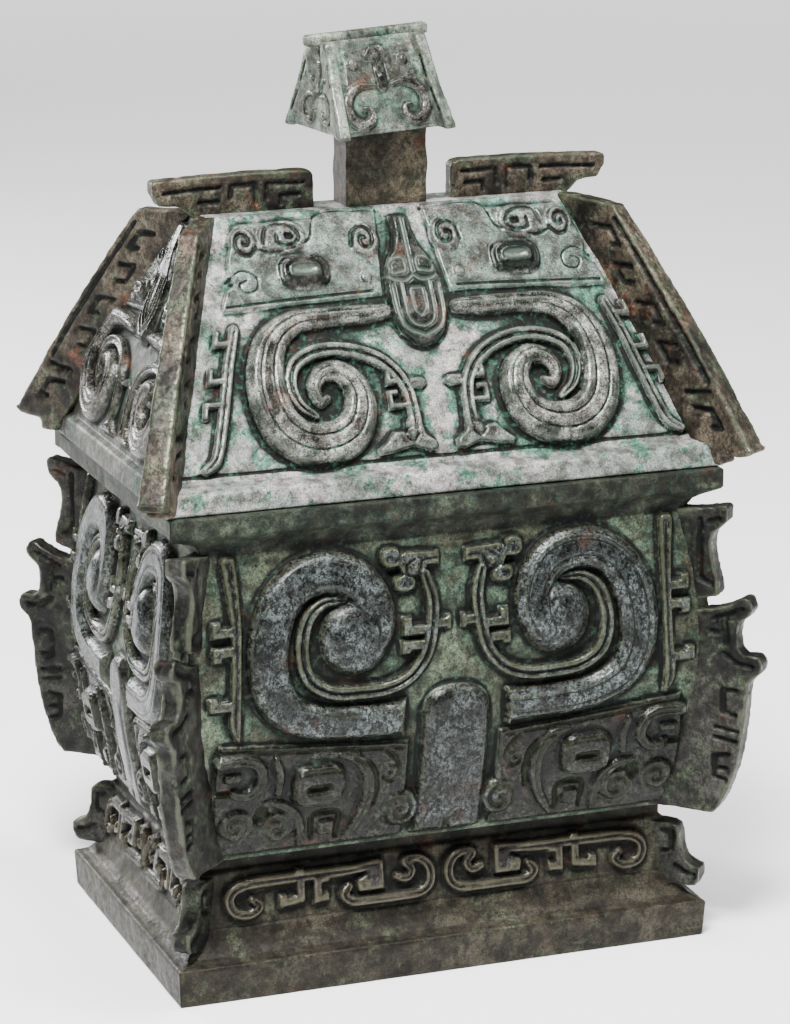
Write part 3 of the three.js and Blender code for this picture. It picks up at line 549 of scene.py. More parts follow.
def carved_wall(name, outer, inner, turn, cell, carve, sheet_base, seed, place=None, dent=1.0,
                shaded=(0, 0), full=5.0):
    """outer and inner are rows of height, half length along the wall and distance out from the middle."""
    rows = np.array(outer, float)
    back = np.array(inner, float)
    columns = 2 * math.ceil(rows[:, 1].max() / cell)
    across = np.linspace(-1, 1, columns + 1)
    z = np.repeat(rows[:, :1], columns + 1, axis=1)
    half = np.repeat(rows[:, 1:2], columns + 1, axis=1)
    u = across[None, :] * half
    slope = np.gradient(rows[:, [0, 2]], axis=0)
    slope = slope / np.maximum(np.hypot(slope[:, :1], slope[:, 1:]), 1e-9)
    outward, upward = slope[:, :1], -slope[:, 1:]
    relief, engraved, dark = carve(u, z - sheet_base)
    edge = np.clip((half - np.abs(u)) / corner_fade, 0, 1)
    ends = np.clip(np.minimum(np.arange(len(rows)), np.arange(len(rows))[::-1]) / 3, 0, 1)[:, None]
    rise = (relief + dent * uneven(u, z, seed)) * edge * ends
    out = rows[:, 2:3] + rise * outward
    height = z + rise * upward
    skin = np.stack([u, -out, height], axis=-1).reshape(-1, 3)
    left = np.stack([-back[:, 1], -back[:, 2], back[:, 0]], axis=-1)
    right = np.stack([back[:, 1], -back[:, 2], back[:, 0]], axis=-1)
    points = np.vstack([skin, left, right])
    angle = turn * math.pi / 2
    cosine, sine = math.cos(angle), math.sin(angle)
    spin = np.array([[cosine, -sine, 0], [sine, cosine, 0], [0, 0, 1]])
    points = points @ spin.T
    if place is not None:
        points = points @ np.array(place.to_3x3()).T + np.array(place.translation)
    count, width = rows.shape[0], columns + 1
    grid = np.arange(count * width).reshape(count, width)
    quads = np.stack([grid[:-1, :-1], grid[:-1, 1:], grid[1:, 1:], grid[1:, :-1]], axis=-1)
    quads = quads.reshape(-1, 4)
    first_left, first_right = count * width, count * width + count
    closing = []
    for k in range(count - 1):
        l0, l1, r0, r1 = first_left + k, first_left + k + 1, first_right + k, first_right + k + 1
        closing.append([l0, int(grid[k, 0]), int(grid[k + 1, 0]), l1])
        closing.append([int(grid[k, -1]), r0, r1, int(grid[k + 1, -1])])
        closing.append([r0, l0, l1, r1])
    closing.append([first_left, first_right] + [int(i) for i in grid[0, ::-1]])
    closing.append([first_right + count - 1, first_left + count - 1] + [int(i) for i in grid[-1]])
    mesh = bpy.data.meshes.new(name)
    mesh.from_pydata((points * millimetre).tolist(), [], quads.tolist() + closing)
    mesh.update()
    wall = bpy.data.objects.new(name, mesh)
    bpy.context.scene.collection.objects.link(wall)
    smooth = np.zeros(len(mesh.polygons), bool)
    smooth[: len(quads)] = True
    mesh.polygons.foreach_set("use_smooth", smooth)
    spare = np.zeros(2 * count)
    near_by = max(1, round(fine_reach / cell))
    # Creases lower than their surroundings count as hollow and are later painted dark, as earth and as
    # painted shade; ridges count as worn.
    cavity = np.clip((softened(rise, near_by) - rise) / 1.3, -1, 1)
    # Painted shade: a wide blur marks the ground round the feet of the forms, where their shadows fall, so it
    # is painted dark.
    cavity += 0.8 * np.clip((softened(rise, 3 * near_by) - rise) / 2.2, 0, 1)
    # Painted shade: the band of heights given by shaded is marked as a deep hollow and painted near-black.
    cavity += 0.52 * np.clip(np.minimum(z - shaded[0], shaded[1] - z) / 1.5, 0, 1)
    store(mesh, "engraved", np.concatenate([np.clip(engraved, 0, 1).ravel(), spare]))
    store(mesh, "dark", np.concatenate([dark.ravel(), spare]))
    halo_rows = max(1, round(halo_reach / cell))
    halo = softened(softened(np.clip(2 * relief / full, 0, 1), halo_rows), halo_rows)
    store(mesh, "halo", np.concatenate([halo.ravel(), spare]))
    store(mesh, "relief", np.concatenate([np.clip(relief / full, 0, 1).ravel(), spare]))
    store(mesh, "cavity", np.concatenate([cavity.ravel(), spare]))
    print(name, len(quads) * 2 + 6 * count, "triangles")
    return wall


print("the relief fades out within", corner_fade, "mm of a corner")

# %% [markdown]
# The eight walls of the vessel and the four of the lid come from the same call. What faces the viewer is
# laid out finer than the back and the right side, which nobody sees closely.
# %% The walls of the vessel
finish_of = {}
sides = {"front": 0, "right": 1, "back": 2, "left": 3}
fineness = {"front": 0.7, "left": 0.82, "right": 1.5, "back": 1.5}
coarser = 1
narrow_mask = 0.75
narrow_frieze = 0.62
foot_room = (116, 76)
recess_room = (101.5, 61.5)
# Painted shade: the rim band under the lid's eave and the recess below the belly are painted near-black, as
# shade.
shaded_rim = (194, 215)
shaded_recess = (52.4, 62)


def facing(levels, side):
    """Levels as height, half length along the wall and distance out, for a broad or a narrow side."""
    broad = side in ("front", "back")
    return [(z, x, y) if broad else (z, y, x) for z, x, y in levels]


def wall_of(name, side, outer, inner, carve, base, seed, **more):
    cell = fineness[side] * coarser
    wall = carved_wall(f"{side}_{name}", facing(outer, side), facing(inner, side), sides[side], cell,
                       carve, base, seed + sides[side], **more)
    finish_of[wall.name] = name
    return wall


def belly_carving(side):
    squeeze = 1.0 if side in ("front", "back") else narrow_mask

    def carve(u, v):
        below = np.clip((belly_top - belly_bottom - v) / 2, 0, 1)
        return belly_mask(u / squeeze, v) * below * (v < belly_top - belly_bottom)

    return carve


def inner_belly(z):
    x, y = belly_level(min(z, belly_top))[1:]
    return (z, x - belly_wall, y - belly_wall) if z < belly_top else (z, *mouth)


def inner_foot(z):
    x, y = between(foot_profile, z)
    if z >= foot_top:
        return (z, *recess_room)
    return (z, min(x - foot_wall, foot_room[0]), min(y - foot_wall, foot_room[1]))


for side in sides:
    cell = fineness[side] * coarser
    levels = [belly_level(z) for z in np.arange(belly_bottom, belly_top - 0.01, cell)]
    levels += finer(rim_profile, 1.2 * coarser)
    wall_of("belly", side, levels, [inner_belly(z) for z, _, _ in levels], belly_carving(side),
            belly_bottom, 11, shaded=shaded_rim)
    levels = finer(foot_profile, 1.5 * fineness[side] * coarser)
    inside = [inner_foot(z) for z in np.linspace(0, belly_bottom - 0.1, len(levels))]
    squeeze = 1.0 if side in ("front", "back") else narrow_frieze

    def frieze(u, v, squeeze=squeeze):
        within = (v > 0.6) & (v < foot_top - 30.2)
        return foot_frieze(u / squeeze, v) * within

    wall_of("foot", side, levels, inside, frieze, 30.0, 21, shaded=shaded_recess)

# %% [markdown]
# The lid's skin starts at the underside of the eave, runs up the eave's face and over its ledge, and on
# up the roof. Its inner face follows the slope, so the lid is hollow and open below.
# %% The walls of the lid
eave_profile = [(eave_bottom, 123.4, 84.4), (eave_bottom + 0.6, 124.0, 85.0),
                (roof_bottom - 2.4, 122.9, 82.6), (roof_bottom - 1.3, 122.2, 80.6),
                (roof_bottom - 0.5, 120.8, 76.4), (roof_bottom, 119.8, 74.0)]
roof_wall_out = (3.75, 4.19)
roof_crown = 6.0
lip_inner = (100.5, 73.5)


def inner_roof(z):
    share = (z - eave_bottom) / (roof_top - eave_bottom)
    level = eave_bottom + share * (roof_top - roof_crown - eave_bottom)
    if level < roof_bottom:
        rising = (level - eave_bottom) / (roof_bottom - eave_bottom)
        first = roof_level(roof_bottom)
        return (level, lip_inner[0] + rising * (first[1] - roof_wall_out[0] - lip_inner[0]),
                lip_inner[1] + rising * (first[2] - roof_wall_out[1] - lip_inner[1]))
    _, x, y = roof_level(level)
    return (level, x - roof_wall_out[0], y - roof_wall_out[1])


for side in sides:
    cell = fineness[side] * coarser * 0.86
    levels = finer(eave_profile, 1.2 * coarser)
    heights = [*np.arange(roof_bottom + cell, roof_top - 0.3, cell), roof_top]
    levels += [roof_level(z) for z in heights]
    mask = roof_mask if side in ("front", "back") else gable_mask

    def roof_carving(u, v, mask=mask):
        return mask(u, v) * (v > 0.8)

    wall_of("roof", side, levels, [inner_roof(z) for z, _, _ in levels], roof_carving, roof_bottom, 31)
for side in ("left", "right"):
    finish_of[f"{side}_roof"] = "gable"

# %% [markdown]
# The plain parts that join the walls are boxes: the vessel's floor, the crown along the lid's ridge, and
# the lid's lip, a short sleeve that drops into the mouth. Each starts as a cube at its size and place.
# %% Floor, crown and lip
def block(name, low, high, bevel=0.0, cuts=0):
    """A cube primitive between two corners, with its edges rounded."""
    bpy.ops.object.select_all(action="DESELECT")
    middle = [(a + b) / 2 * millimetre for a, b in zip(low, high)]
    bpy.ops.mesh.primitive_cube_add(size=1, location=middle)
    cube = bpy.context.object
    cube.name = name
    cube.scale = [(b - a) * millimetre for a, b in zip(low, high)]
    bpy.ops.object.transform_apply(location=True, rotation=True, scale=True)
    if cuts:
        bpy.ops.object.mode_set(mode="EDIT")
        bpy.ops.mesh.select_all(action="SELECT")
        bpy.ops.mesh.subdivide(number_cuts=cuts)
        bpy.ops.object.mode_set(mode="OBJECT")
    if bevel:
        rounding = cube.modifiers.new("rounding", "BEVEL")
        rounding.width = bevel * millimetre
        rounding.segments = 3
        bpy.ops.object.modifier_apply(modifier=rounding.name)
    return cube


def shade_by_angle(piece, degrees=38):
    bpy.ops.object.select_all(action="DESELECT")
    piece.select_set(True)
    bpy.context.view_layer.objects.active = piece
    bpy.ops.object.shade_smooth_by_angle(angle=math.radians(degrees))


floor = block("vessel_floor", (-106.4, -71.6, belly_bottom), (106.4, 71.6, belly_bottom + floor_thickness))
crown = block("roof_crown", (-82, -10, roof_top - roof_crown), (82, 10, roof_top), 0.5)
lip = block("lid_lip", (-104, -77, eave_bottom - 11), (104, 77, eave_bottom), 0.4)
lip_hole = block("lip_hole", (-100.5, -73.5, eave_bottom - 12), (100.5, 73.5, eave_bottom + 1))


def cut_away(piece, cutter):
    """Cuts one piece with another, which is then removed."""
    bpy.ops.object.select_all(action="DESELECT")
    bpy.context.view_layer.objects.active = piece
    piece.select_set(True)
    difference = piece.modifiers.new("cut", "BOOLEAN")
    difference.operation = "DIFFERENCE"
    difference.solver = "EXACT"
    difference.object = cutter
    bpy.ops.object.modifier_apply(modifier=difference.name)
    bpy.data.objects.remove(cutter)


cut_away(lip, lip_hole)
for piece, finish in ((floor, "belly"), (crown, "roof"), (lip, "belly")):
    shade_by_angle(piece)
    finish_of[piece.name] = finish
print("floor, crown and lip joined to the walls")

# %% [markdown]
# A flange is a thick plate of hooks and steps that hides the seam where two pieces of the mould met. Its
# outline is extruded to its thickness and laid over with small even faces by a remesh, which a few turns
# of smoothing round off as wear does. Then the hooked grooves are pressed into both faces by distance,
# and waves make the casting rough. Cutting the grooves away would leave their edges too sharp and clean.
# %% Make a flange from its outline
tip_trim = 0.6
coarser_behind = 1.4
face_depth = 2.4
groove_slope = 0.8
worn_rim = 1.6


def prism(name, outline, low, high):
    """A closed plate with the outline of distance out and height, between two thicknesses."""
    area = sum(a[0] * b[1] - b[0] * a[1] for a, b in zip(outline, outline[1:] + outline[:1]))
    ring = list(outline) if area > 0 else list(outline)[::-1]
    count = len(ring)
    points = [(r, low, z) for r, z in ring] + [(r, high, z) for r, z in ring]
    faces = [tuple(range(count)), tuple(range(2 * count - 1, count - 1, -1))]
    faces += [(k, k + count, (k + 1) % count + count, (k + 1) % count) for k in range(count)]
    mesh = bpy.data.meshes.new(name)
    mesh.from_pydata([[c * millimetre for c in p] for p in points], [], faces)
    made = bpy.data.objects.new(name, mesh)
    bpy.context.scene.collection.objects.link(made)
    return made


def flange(name, outline, thickness, grooves, matrix, finish, depth=1.7, width=2.4, taper=None, cell=0.9):
    """A plate with grooves pressed into both faces, set in place by a matrix."""
    plate = prism(name, outline, -thickness / 2, thickness / 2)
    bpy.ops.object.select_all(action="DESELECT")
    plate.select_set(True)
    bpy.context.view_layer.objects.active = plate
    cast = plate.modifiers.new("cast", "REMESH")
    cast.mode = "VOXEL"
    behind = coarser_behind if name.startswith("back") else 1
    cast.voxel_size = cell * coarser * behind * millimetre
    bpy.ops.object.modifier_apply(modifier=cast.name)
    worn = plate.modifiers.new("worn", "SMOOTH")
    worn.iterations = 3
    bpy.ops.object.modifier_apply(modifier=worn.name)
    points = np.empty(3 * len(plate.data.vertices))
    plate.data.vertices.foreach_get("co", points)
    points = points.reshape(-1, 3) / millimetre
    normals = np.array([vertex.normal for vertex in plate.data.vertices])
    r, y, z = points.T
    on_face = np.clip((np.abs(y) - thickness / 2 + face_depth) / (face_depth - 1), 0, 1)
    sunk = np.zeros(len(r))
    for groove in grooves:
        distance, _ = reach(r, z, np.array([(a, b, 1) for a, b in groove], float))
        sunk = np.maximum(sunk, np.clip((0.5 * width + 0.3 - distance) / groove_slope, 0, 1))
    seed = 51 + len(name) + int(10 * thickness)
    rough = 0.2 * waves(r + 2 * y, z, 22, seed) + 0.12 * waves(r + 2 * y, z, 6, seed + 1)
    rough -= 0.45 * np.clip(waves(r - y, z, 6.5, seed + 2) - 1.3, 0, None)
    points += normals * np.minimum(rough, 0.12)[:, None]
    points[:, 1] -= np.sign(y) * sunk * on_face * depth
    rim = np.clip(1 - inside_polygon(r, z, outline) / worn_rim, 0, 1)
    # The grooves and dents are marked as hollow and painted dark like the walls' creases, as earth and as
    # painted shade; the worn rim is marked as worn.
    store(plate.data, "cavity", sunk * on_face - 0.7 * rim * on_face - rough)
    points[:, 0] = np.minimum(points[:, 0], max(out for out, _ in outline) - tip_trim)
    if taper is not None:
        points[:, 1] *= np.array([taper(height) for height in z])
    plate.data.vertices.foreach_set("co", (points * millimetre).ravel())
    plate.data.transform(matrix)
    plate.data.update()
    bpy.ops.object.shade_smooth()
    finish_of[plate.name] = finish
    return plate


def at_corner(x, y, bearing):
    """Stands a plate at a corner, pointing outwards along its bearing."""
    return Matrix.Translation(Vector((x, y, 0)) * millimetre) @ Matrix.Rotation(bearing, 4, "Z")


corners = {"front_left": (-1, -1), "front_right": (1, -1), "back_right": (1, 1), "back_left": (-1, 1)}
print(len(corners), "corners")

# %% [markdown]
# Each corner of the belly has a short flange under the rim and a long one below it with two beaks that
# turn up. The foot's flange is small and curls out at its lower end.
# %% Flanges of the belly and the foot
upper_flange = [(-24, 196), (-9, 196.5), (3, 198.3), (9, 199.5), (10.4, 197.5), (9.9, 192.6), (6.6, 189.2),
                (4.4, 187.5), (3, 184), (2.7, 181), (4.2, 173), (6.4, 166), (7, 160.4), (6.4, 159.4),
                (-4, 156.8), (-24, 155)]
lower_flange = [(-24, 149.5), (4, 153.5), (10, 155.2), (14.8, 157.8), (18.4, 160), (20.6, 159), (22.4, 155),
                (20.5, 151.6), (17, 149.4), (15.4, 146), (15.2, 141.5), (16.2, 136.2), (18.5, 134),
                (22.6, 134.4), (25.2, 134), (27.2, 130.4), (26.4, 127.2), (23.4, 124.4), (21.2, 121.8),
                (20.4, 115), (19.6, 106), (17.8, 92), (15.6, 82), (12.2, 72), (8.6, 65), (5.5, 61.5),
                (-24, 61.5)]
upper_grooves = [[(-2.5, 192.5), (-2.5, 178), (-2.5, 166.5), (3.2, 164.5)], [(1.6, 192), (6, 193.4)]]
lower_grooves = [
    [(5, 149.5), (12.5, 152.5), (17.5, 154.8)], [(9.6, 151), (9.2, 145)],
    [(3.5, 143.5), (10.2, 143.5), (10.2, 138.5)], [(9, 134.3), (15, 130.6), (22, 129.6)],
    [(15.6, 118), (9.5, 118), (9.5, 108), (15, 107)], [(6, 101), (16.2, 99.5)], [(6, 96.5), (15.6, 95)],
    [(12.2, 89), (6, 88), (6, 78.5), (11, 77.5)], [(6, 83), (11.5, 82.4)],
]
foot_flange = [(-12, 51.5), (5, 51.5), (7.4, 50), (8.2, 47), (8.8, 41), (10.4, 36), (13.4, 33.6),
               (17.4, 32.4), (18.2, 31), (18, 27.4), (16.2, 24), (13, 23.3), (6.5, 23), (-12, 23)]
foot_grooves = [[(0.5, 47.5), (4.6, 47), (4.6, 39), (0.5, 38)], [(6.5, 32), (11, 29.4), (15, 28.6)]]
belly_corner = (116.15, 87.15)
foot_corner = (107.0, 67.0)

for name, (x, y) in corners.items():
    bearing = math.atan2(y, x)
    stand = at_corner(x * belly_corner[0], y * belly_corner[1], bearing)
    flange(f"{name}_upper_flange", upper_flange, 9, upper_grooves, stand, "flange")
    flange(f"{name}_lower_flange", lower_flange, 9, lower_grooves, stand, "flange")
    stand = at_corner(x * foot_corner[0], y * foot_corner[1], bearing)
    flange(f"{name}_foot_flange", foot_flange, 9, foot_grooves, stand, "flange")
print(sum("flange" in name for name in finish_of), "flanges on the vessel")

# %% [markdown]
# Along each hip of the roof lies a heavy bar. Its outer face is narrow at the ridge and broad at the
# eave, where the bar runs out past the corner. Two short flanges stand on the ridge beside the knob.
# %% Flanges of the lid
hip_run = math.hypot(37.8, 64.0)
hip_height = 26.0
hip_swell = 2.5


def hip_point(share, out):
    """A place along the hip: its share of the way down and how far it stands out from the edge."""
    return (share * hip_run + out, roof_top - share * (roof_top - roof_bottom))


crest_shares = (0.02, 0.12, 0.25, 0.4, 0.55, 0.7, 0.85, 1)
crest = [hip_point(t, hip_height + hip_swell * math.sin(math.pi * t)) for t in crest_shares]
end_r, end_z = hip_point(1.03, hip_height)
hip_outline = [hip_point(0, 4)] + crest + [
    (end_r, end_z + 2), (end_r - 0.6, end_z + 0.2), (end_r - 3, end_z - 1), (end_r - 8, end_z - 2),
    hip_point(1.05, 18), hip_point(1.05, 7.5), hip_point(1.1, 5.5), hip_point(1.1, -4), hip_point(0, -4),
]
hip_line = [hip_point(t, hip_height - 4.2 + hip_swell * math.sin(math.pi * t))
            for t in (0.08, 0.3, 0.55, 0.74)]
hip_grooves = [hip_line, [hip_point(0.78, 21.5), hip_point(0.8, 8)]]
for start, hook in ((0.12, 1), (0.28, -1), (0.44, 1), (0.6, -1), (0.86, 1)):
    low, high = (8.0, 17.0) if hook > 0 else (17.0, 8.0)
    hip_grooves.append([hip_point(start, low), hip_point(start, high), hip_point(start + 0.075, high),
                        hip_point(start + 0.075, (low + high) / 2)])


def hip_taper(z):
    share = (roof_top - z) / (roof_top - roof_bottom)
    return 0.84 + 0.36 * min(max(share, 0), 1)


for name, (x, y) in corners.items():
    bearing = math.atan2(y * 64.0, x * 37.8)
    flange(f"{name}_hip_flange", hip_outline, 10, hip_grooves, at_corner(x * 82, y * 10, bearing), "hip",
           width=2.6, taper=hip_taper)

ridge_outline = [(31, 318), (31, 335.6), (32.2, 337.4), (36, 338.2), (60, 338.4), (101, 337.2), (103, 336.2),
                 (103, 332.6), (99.6, 326.6), (90, 325.6), (82, 318)]
ridge_grooves = [[(36, 333), (52, 333.4), (52, 327)], [(38, 328), (46, 328), (46, 324.5)],
                 [(57, 325), (57, 333.4), (68, 333.4), (68, 328)], [(73, 333), (88, 332.4), (97, 331.6)],
                 [(74, 327), (82, 327)]]
for name, bearing in (("right_ridge_flange", 0.0), ("left_ridge_flange", math.pi)):
    flange(name, ridge_outline, 8, ridge_grooves, at_corner(0, 0, bearing), "hip", width=2)
print(sum(finish == "hip" for finish in finish_of.values()), "flanges on the lid")

# %% [markdown]
# The knob is a little copy of the lid on a square stem, soldered on slightly askew. It is built upright
# at the origin with the wall tool and then leaned, turned and lifted by one matrix for all of its parts.
# %% The knob on its stem
knob_bottom = roof_top + 33.0
knob_lean, knob_turn = math.radians(-2.5), math.radians(6)
knob_spot = Vector((-4.6, 0, knob_bottom))
knob_spin = Euler((0, knob_lean, knob_turn), "XYZ").to_matrix().to_4x4()
knob_place = Matrix.Translation(knob_spot) @ knob_spin
knob_metres = Matrix.Translation(knob_spot * millimetre) @ knob_spin
knob_cell = 0.58
knob_levels = [(0, 23.4, 21.9), (0.4, 23.5, 22), (19, 22.1, 14.3), (37.4, 20.1, 4.6), (38, 19.6, 4.2)]
knob_inner = [(z, x - 2.6, max(y - 2.6, 1.2)) for z, x, y in knob_levels]

for side in sides:
    levels = finer(knob_levels, knob_cell * coarser)
    inside = [(z * 0.96, *between(knob_inner, z)) for z, _, _ in levels]
    mask = knob_mask if side in ("front", "back") else knob_side_mask
    wall = carved_wall(f"{side}_knob", facing(levels, side), facing(inside, side), sides[side],
                       knob_cell * coarser, mask, 0.0, 41 + sides[side], place=knob_place, dent=0.35,
                       full=2.4)
    finish_of[wall.name] = "knob"

stem = block("knob_stem", (-18.2, -8.75, roof_top - 6), (18.2, 8.75, knob_bottom + 3), 0.9, 10)
for vertex in stem.data.vertices:
    x, y, z = vertex.co / millimetre
    lump = 0.35 * math.sin(0.31 * x + 0.23 * z) + 0.3 * math.sin(0.42 * z - 0.2 * x + 1)
    vertex.co.x += math.copysign(0.5, x) * lump * millimetre * (abs(x) > 17)
    vertex.co.y += math.copysign(1, y) * lump * millimetre * (abs(y) > 8)
shade_by_angle(stem)
finish_of[stem.name] = "stem"

knob_base = block("knob_base", (-23.2, -21.7, 0), (23.2, 21.7, 2.4), 0.6)
knob_bar = block("knob_ridge", (-28.5, -2.6, 36.4), (28.5, 2.6, 41.2), 1.3)
for x in (-9, 0, 9):
    cut_away(knob_bar, block("notch", (x - 0.7, -4, 39.9), (x + 0.7, 4, 43)))
    for y in (-3, 3):
        cut_away(knob_bar, block("notch", (x - 0.7, y - 1.1, 36), (x + 0.7, y + 1.1, 42)))
for piece in (knob_base, knob_bar):
    piece.data.transform(knob_metres)
    shade_by_angle(piece)
    finish_of[piece.name] = "knob"

knob_hip = [(-3, 37.6), (3.6, 38.6), (5.4, 37.4), (13.6, 19.5), (24.8, 0.6), (24.6, -0.4), (22.5, -0.6),
            (16, 0.2), (-3, 0.2)]
knob_hip_grooves = [[(6.6, 29), (10.6, 20.5)], [(13.5, 15.5), (18.6, 7)]]
for name, (x, y) in corners.items():
    bearing = math.atan2(y * 17.6, x * 3.4)
    placing = knob_metres @ at_corner(x * 20.2, y * 4.6, bearing)
    flange(f"{name}_knob_hip", knob_hip, 5, knob_hip_grooves, placing, "knob", depth=0.9, width=1.5, cell=0.7)

# %% [markdown]
# Three thousand years turned the bronze into layers: a tin-rich grey skin that still shines on the high
# relief, a black skin on a few forms, pale green and turquoise crusts on the ground and round each form,
# dark earth in the hollows, and red-brown cuprite where the crust flaked. Small pits and flecks lie over
# all. The earth's near-black also paints shade: in creases, round the feet of the forms, under the rim
# and in the recess below the belly. One shader group mixes these layers by the numbers kept on each wall,
# broken up by noise of several sizes, and every finish places it with its own colours.
# %% The patina group, with its painted shade
def new_group(name, inputs, outputs):
    group = bpy.data.node_groups.new(name, "ShaderNodeTree")
    for kind, label in inputs:
        group.interface.new_socket(label, in_out="INPUT", socket_type=kind)
    for kind, label in outputs:
        group.interface.new_socket(label, in_out="OUTPUT", socket_type=kind)
    return group, group.nodes.new("NodeGroupInput"), group.nodes.new("NodeGroupOutput")


colour, number = "NodeSocketColor", "NodeSocketFloat"
patina, given, result = new_group(
    "patina of old bronze",
    [(colour, label) for label in ("Ground", "Ground bloom", "Relief", "Relief bloom", "Low relief",
                                   "Black skin", "Hollow", "Crust", "Rust", "Edge")]
    + [(number, label) for label in ("Bloom", "Crust amount", "Rust amount", "Edge amount", "Flecks",
                                     "Pale lines", "Shine")],
    [(colour, "Color"), (number, "Roughness"), (number, "Height")],
)
nodes, links = patina.nodes, patina.links


def noise(scale, detail=4.0, rough=0.6, offset=0.0, stretch=(1, 1, 1)):
    """Noise on object coordinates: scale counts lumps per metre."""
    place = nodes.new("ShaderNodeTexCoord")
    moved = nodes.new("ShaderNodeMapping")
    moved.inputs["Location"].default_value = (offset, offset * 0.7, offset * 1.3)
    moved.inputs["Scale"].default_value = stretch
    texture = nodes.new("ShaderNodeTexNoise")
    texture.inputs["Scale"].default_value = scale
    texture.inputs["Detail"].default_value = detail
    texture.inputs["Roughness"].default_value = rough
    links.new(place.outputs["Object"], moved.inputs["Vector"])
    links.new(moved.outputs["Vector"], texture.inputs["Vector"])
    return texture.outputs["Fac"]


def ramp(value, low, high):
    """Runs softly from nought to one as the value goes from low to high."""
    step = nodes.new("ShaderNodeMapRange")
    step.interpolation_type = "SMOOTHSTEP"
    step.inputs["From Min"].default_value = low
    step.inputs["From Max"].default_value = high
    links.new(value, step.inputs["Value"])
    return step.outputs["Result"]


def joined(kind, a, b):
    """Joins two values, or a value and a number, with one operation."""
    node = nodes.new("ShaderNodeMath")
    node.operation = kind
    for socket, value in zip(node.inputs, (a, b)):
        if isinstance(value, (int, float)):
            socket.default_value = value
        else:
            links.new(value, socket)
    return node.outputs["Value"]


def times(a, b):
    return joined("MULTIPLY", a, b)


def stirred(value, noisy, amount, middle=0.5):
    """The value, moved up and down by how far a noise lies from its middle."""
    return joined("ADD", value, times(joined("SUBTRACT", noisy, middle), amount))


def lessened(value, by, amount):
    """The value, taken away where another one is high."""
    return times(value, joined("SUBTRACT", 1.0, times(by, amount)))


def blend(amount, a, b, kind="MIX"):
    """One colour over another, or the two multiplied."""
    node = nodes.new("ShaderNodeMix")
    node.data_type = "RGBA"
    node.blend_type = kind
    for socket, value in ((node.inputs[0], amount), (node.inputs[6], a), (node.inputs[7], b)):
        if isinstance(value, (float, tuple)):
            socket.default_value = value
        else:
            links.new(value, socket)
    return node.outputs[2]


def kept(name):
    """The number that a wall keeps at each of its points."""
    node = nodes.new("ShaderNodeAttribute")
    node.attribute_name = name
    return node.outputs["Fac"]


def chosen(label):
    """A colour or an amount that the finish sets on the group."""
    return given.outputs[label]


broad = noise(26, 5, 0.62)
patches = noise(85, 6, 0.66, 0.4)
mottle = noise(330, 5, 0.7, 0.9)
grain = noise(1500, 3, 0.75, 1.7)
speck = noise(520, 6, 0.8, 2.6)
relief = kept("relief")
halo = kept("halo")
engraved = kept("engraved")
dark = kept("dark")
pale_lines = times(times(engraved, dark), chosen("Pale lines"))
dark_lines = joined("SUBTRACT", engraved, times(pale_lines, 1.8))
cavity = joined("ADD", kept("cavity"), times(dark_lines, 0.8))
raised = ramp(stirred(relief, mottle, 0.45), 0.1, 0.38)
worn_edge = lessened(ramp(stirred(cavity, mottle, 0.8), -0.1, -0.7), dark, 0.85)
# sunk marks hollows and painted shade alike: creases, the ground round the forms' feet and the shaded bands,
# all painted with the earth's near-black.
sunk = ramp(stirred(cavity, patches, 0.5), 0.2, 0.75)

broken = joined("ADD", patches, times(mottle, 0.5))
ground = blend(times(ramp(broad, 0.40, 0.60), chosen("Bloom")), chosen("Ground"), chosen("Ground bloom"))
polished = ramp(joined("ADD", patches, times(grain, 0.35)), 0.56, 0.82)
high_relief = blend(polished, chosen("Relief"), chosen("Relief bloom"))
low_relief = blend(ramp(stirred(mottle, patches, 0.8), 0.42, 0.62), chosen("Low relief"), chosen("Ground"))
black_skin = blend(ramp(broken, 0.7, 0.9), chosen("Black skin"), chosen("Low relief"))
top = blend(dark, blend(ramp(relief, 0.5, 0.75), low_relief, high_relief), black_skin)
skin = blend(raised, ground, top)

round_forms = ramp(stirred(halo, broken, 2.6, middle=0.75), 0.1, 0.34)
crusted = times(joined("MAXIMUM", ramp(broken, 0.76, 0.9), round_forms), chosen("Crust amount"))
crusted = lessened(crusted, raised, 0.95)
pitted = times(ramp(stirred(speck, patches, 0.4), 0.53, 0.66), 0.7)
flecks = ramp(noise(600, 4, 0.7, 3.7, (1, 1, 0.75)), 0.49, 0.55)
flecked = times(times(flecks, joined("MAXIMUM", raised, 0.55)), chosen("Flecks"))
green_in_hollow = times(times(sunk, ramp(mottle, 0.5, 0.64)), chosen("Crust amount"))
rusty = times(ramp(noise(55, 6, 0.7, 5.3), 0.58, 0.7), chosen("Rust amount"))
skin = blend(crusted, skin, chosen("Crust"))
# Pits and flecks are dark earth; sunk lays the same near-black on as painted shade in creases, round the
# forms' feet and under the rim.
for earth_and_shade in (pitted, flecked, sunk):
    skin = blend(earth_and_shade, skin, chosen("Hollow"))
skin = blend(times(green_in_hollow, 0.55), skin, chosen("Crust"))
skin = blend(rusty, skin, chosen("Rust"))
grainy = blend(ramp(grain, 0.34, 0.66), (0.52, 0.52, 0.52, 1), (1.5, 1.5, 1.5, 1))
blotched = blend(ramp(noise(150, 5, 0.62, 7.1), 0.38, 0.62), (0.5, 0.48, 0.46, 1), (1.38, 1.39, 1.4, 1))
for shade in (grainy, blotched):
    skin = blend(1.0, skin, shade, "MULTIPLY")
skin = blend(pale_lines, skin, chosen("Edge"))
skin = blend(times(worn_edge, chosen("Edge amount")), skin, chosen("Edge"))
links.new(skin, result.inputs["Color"])

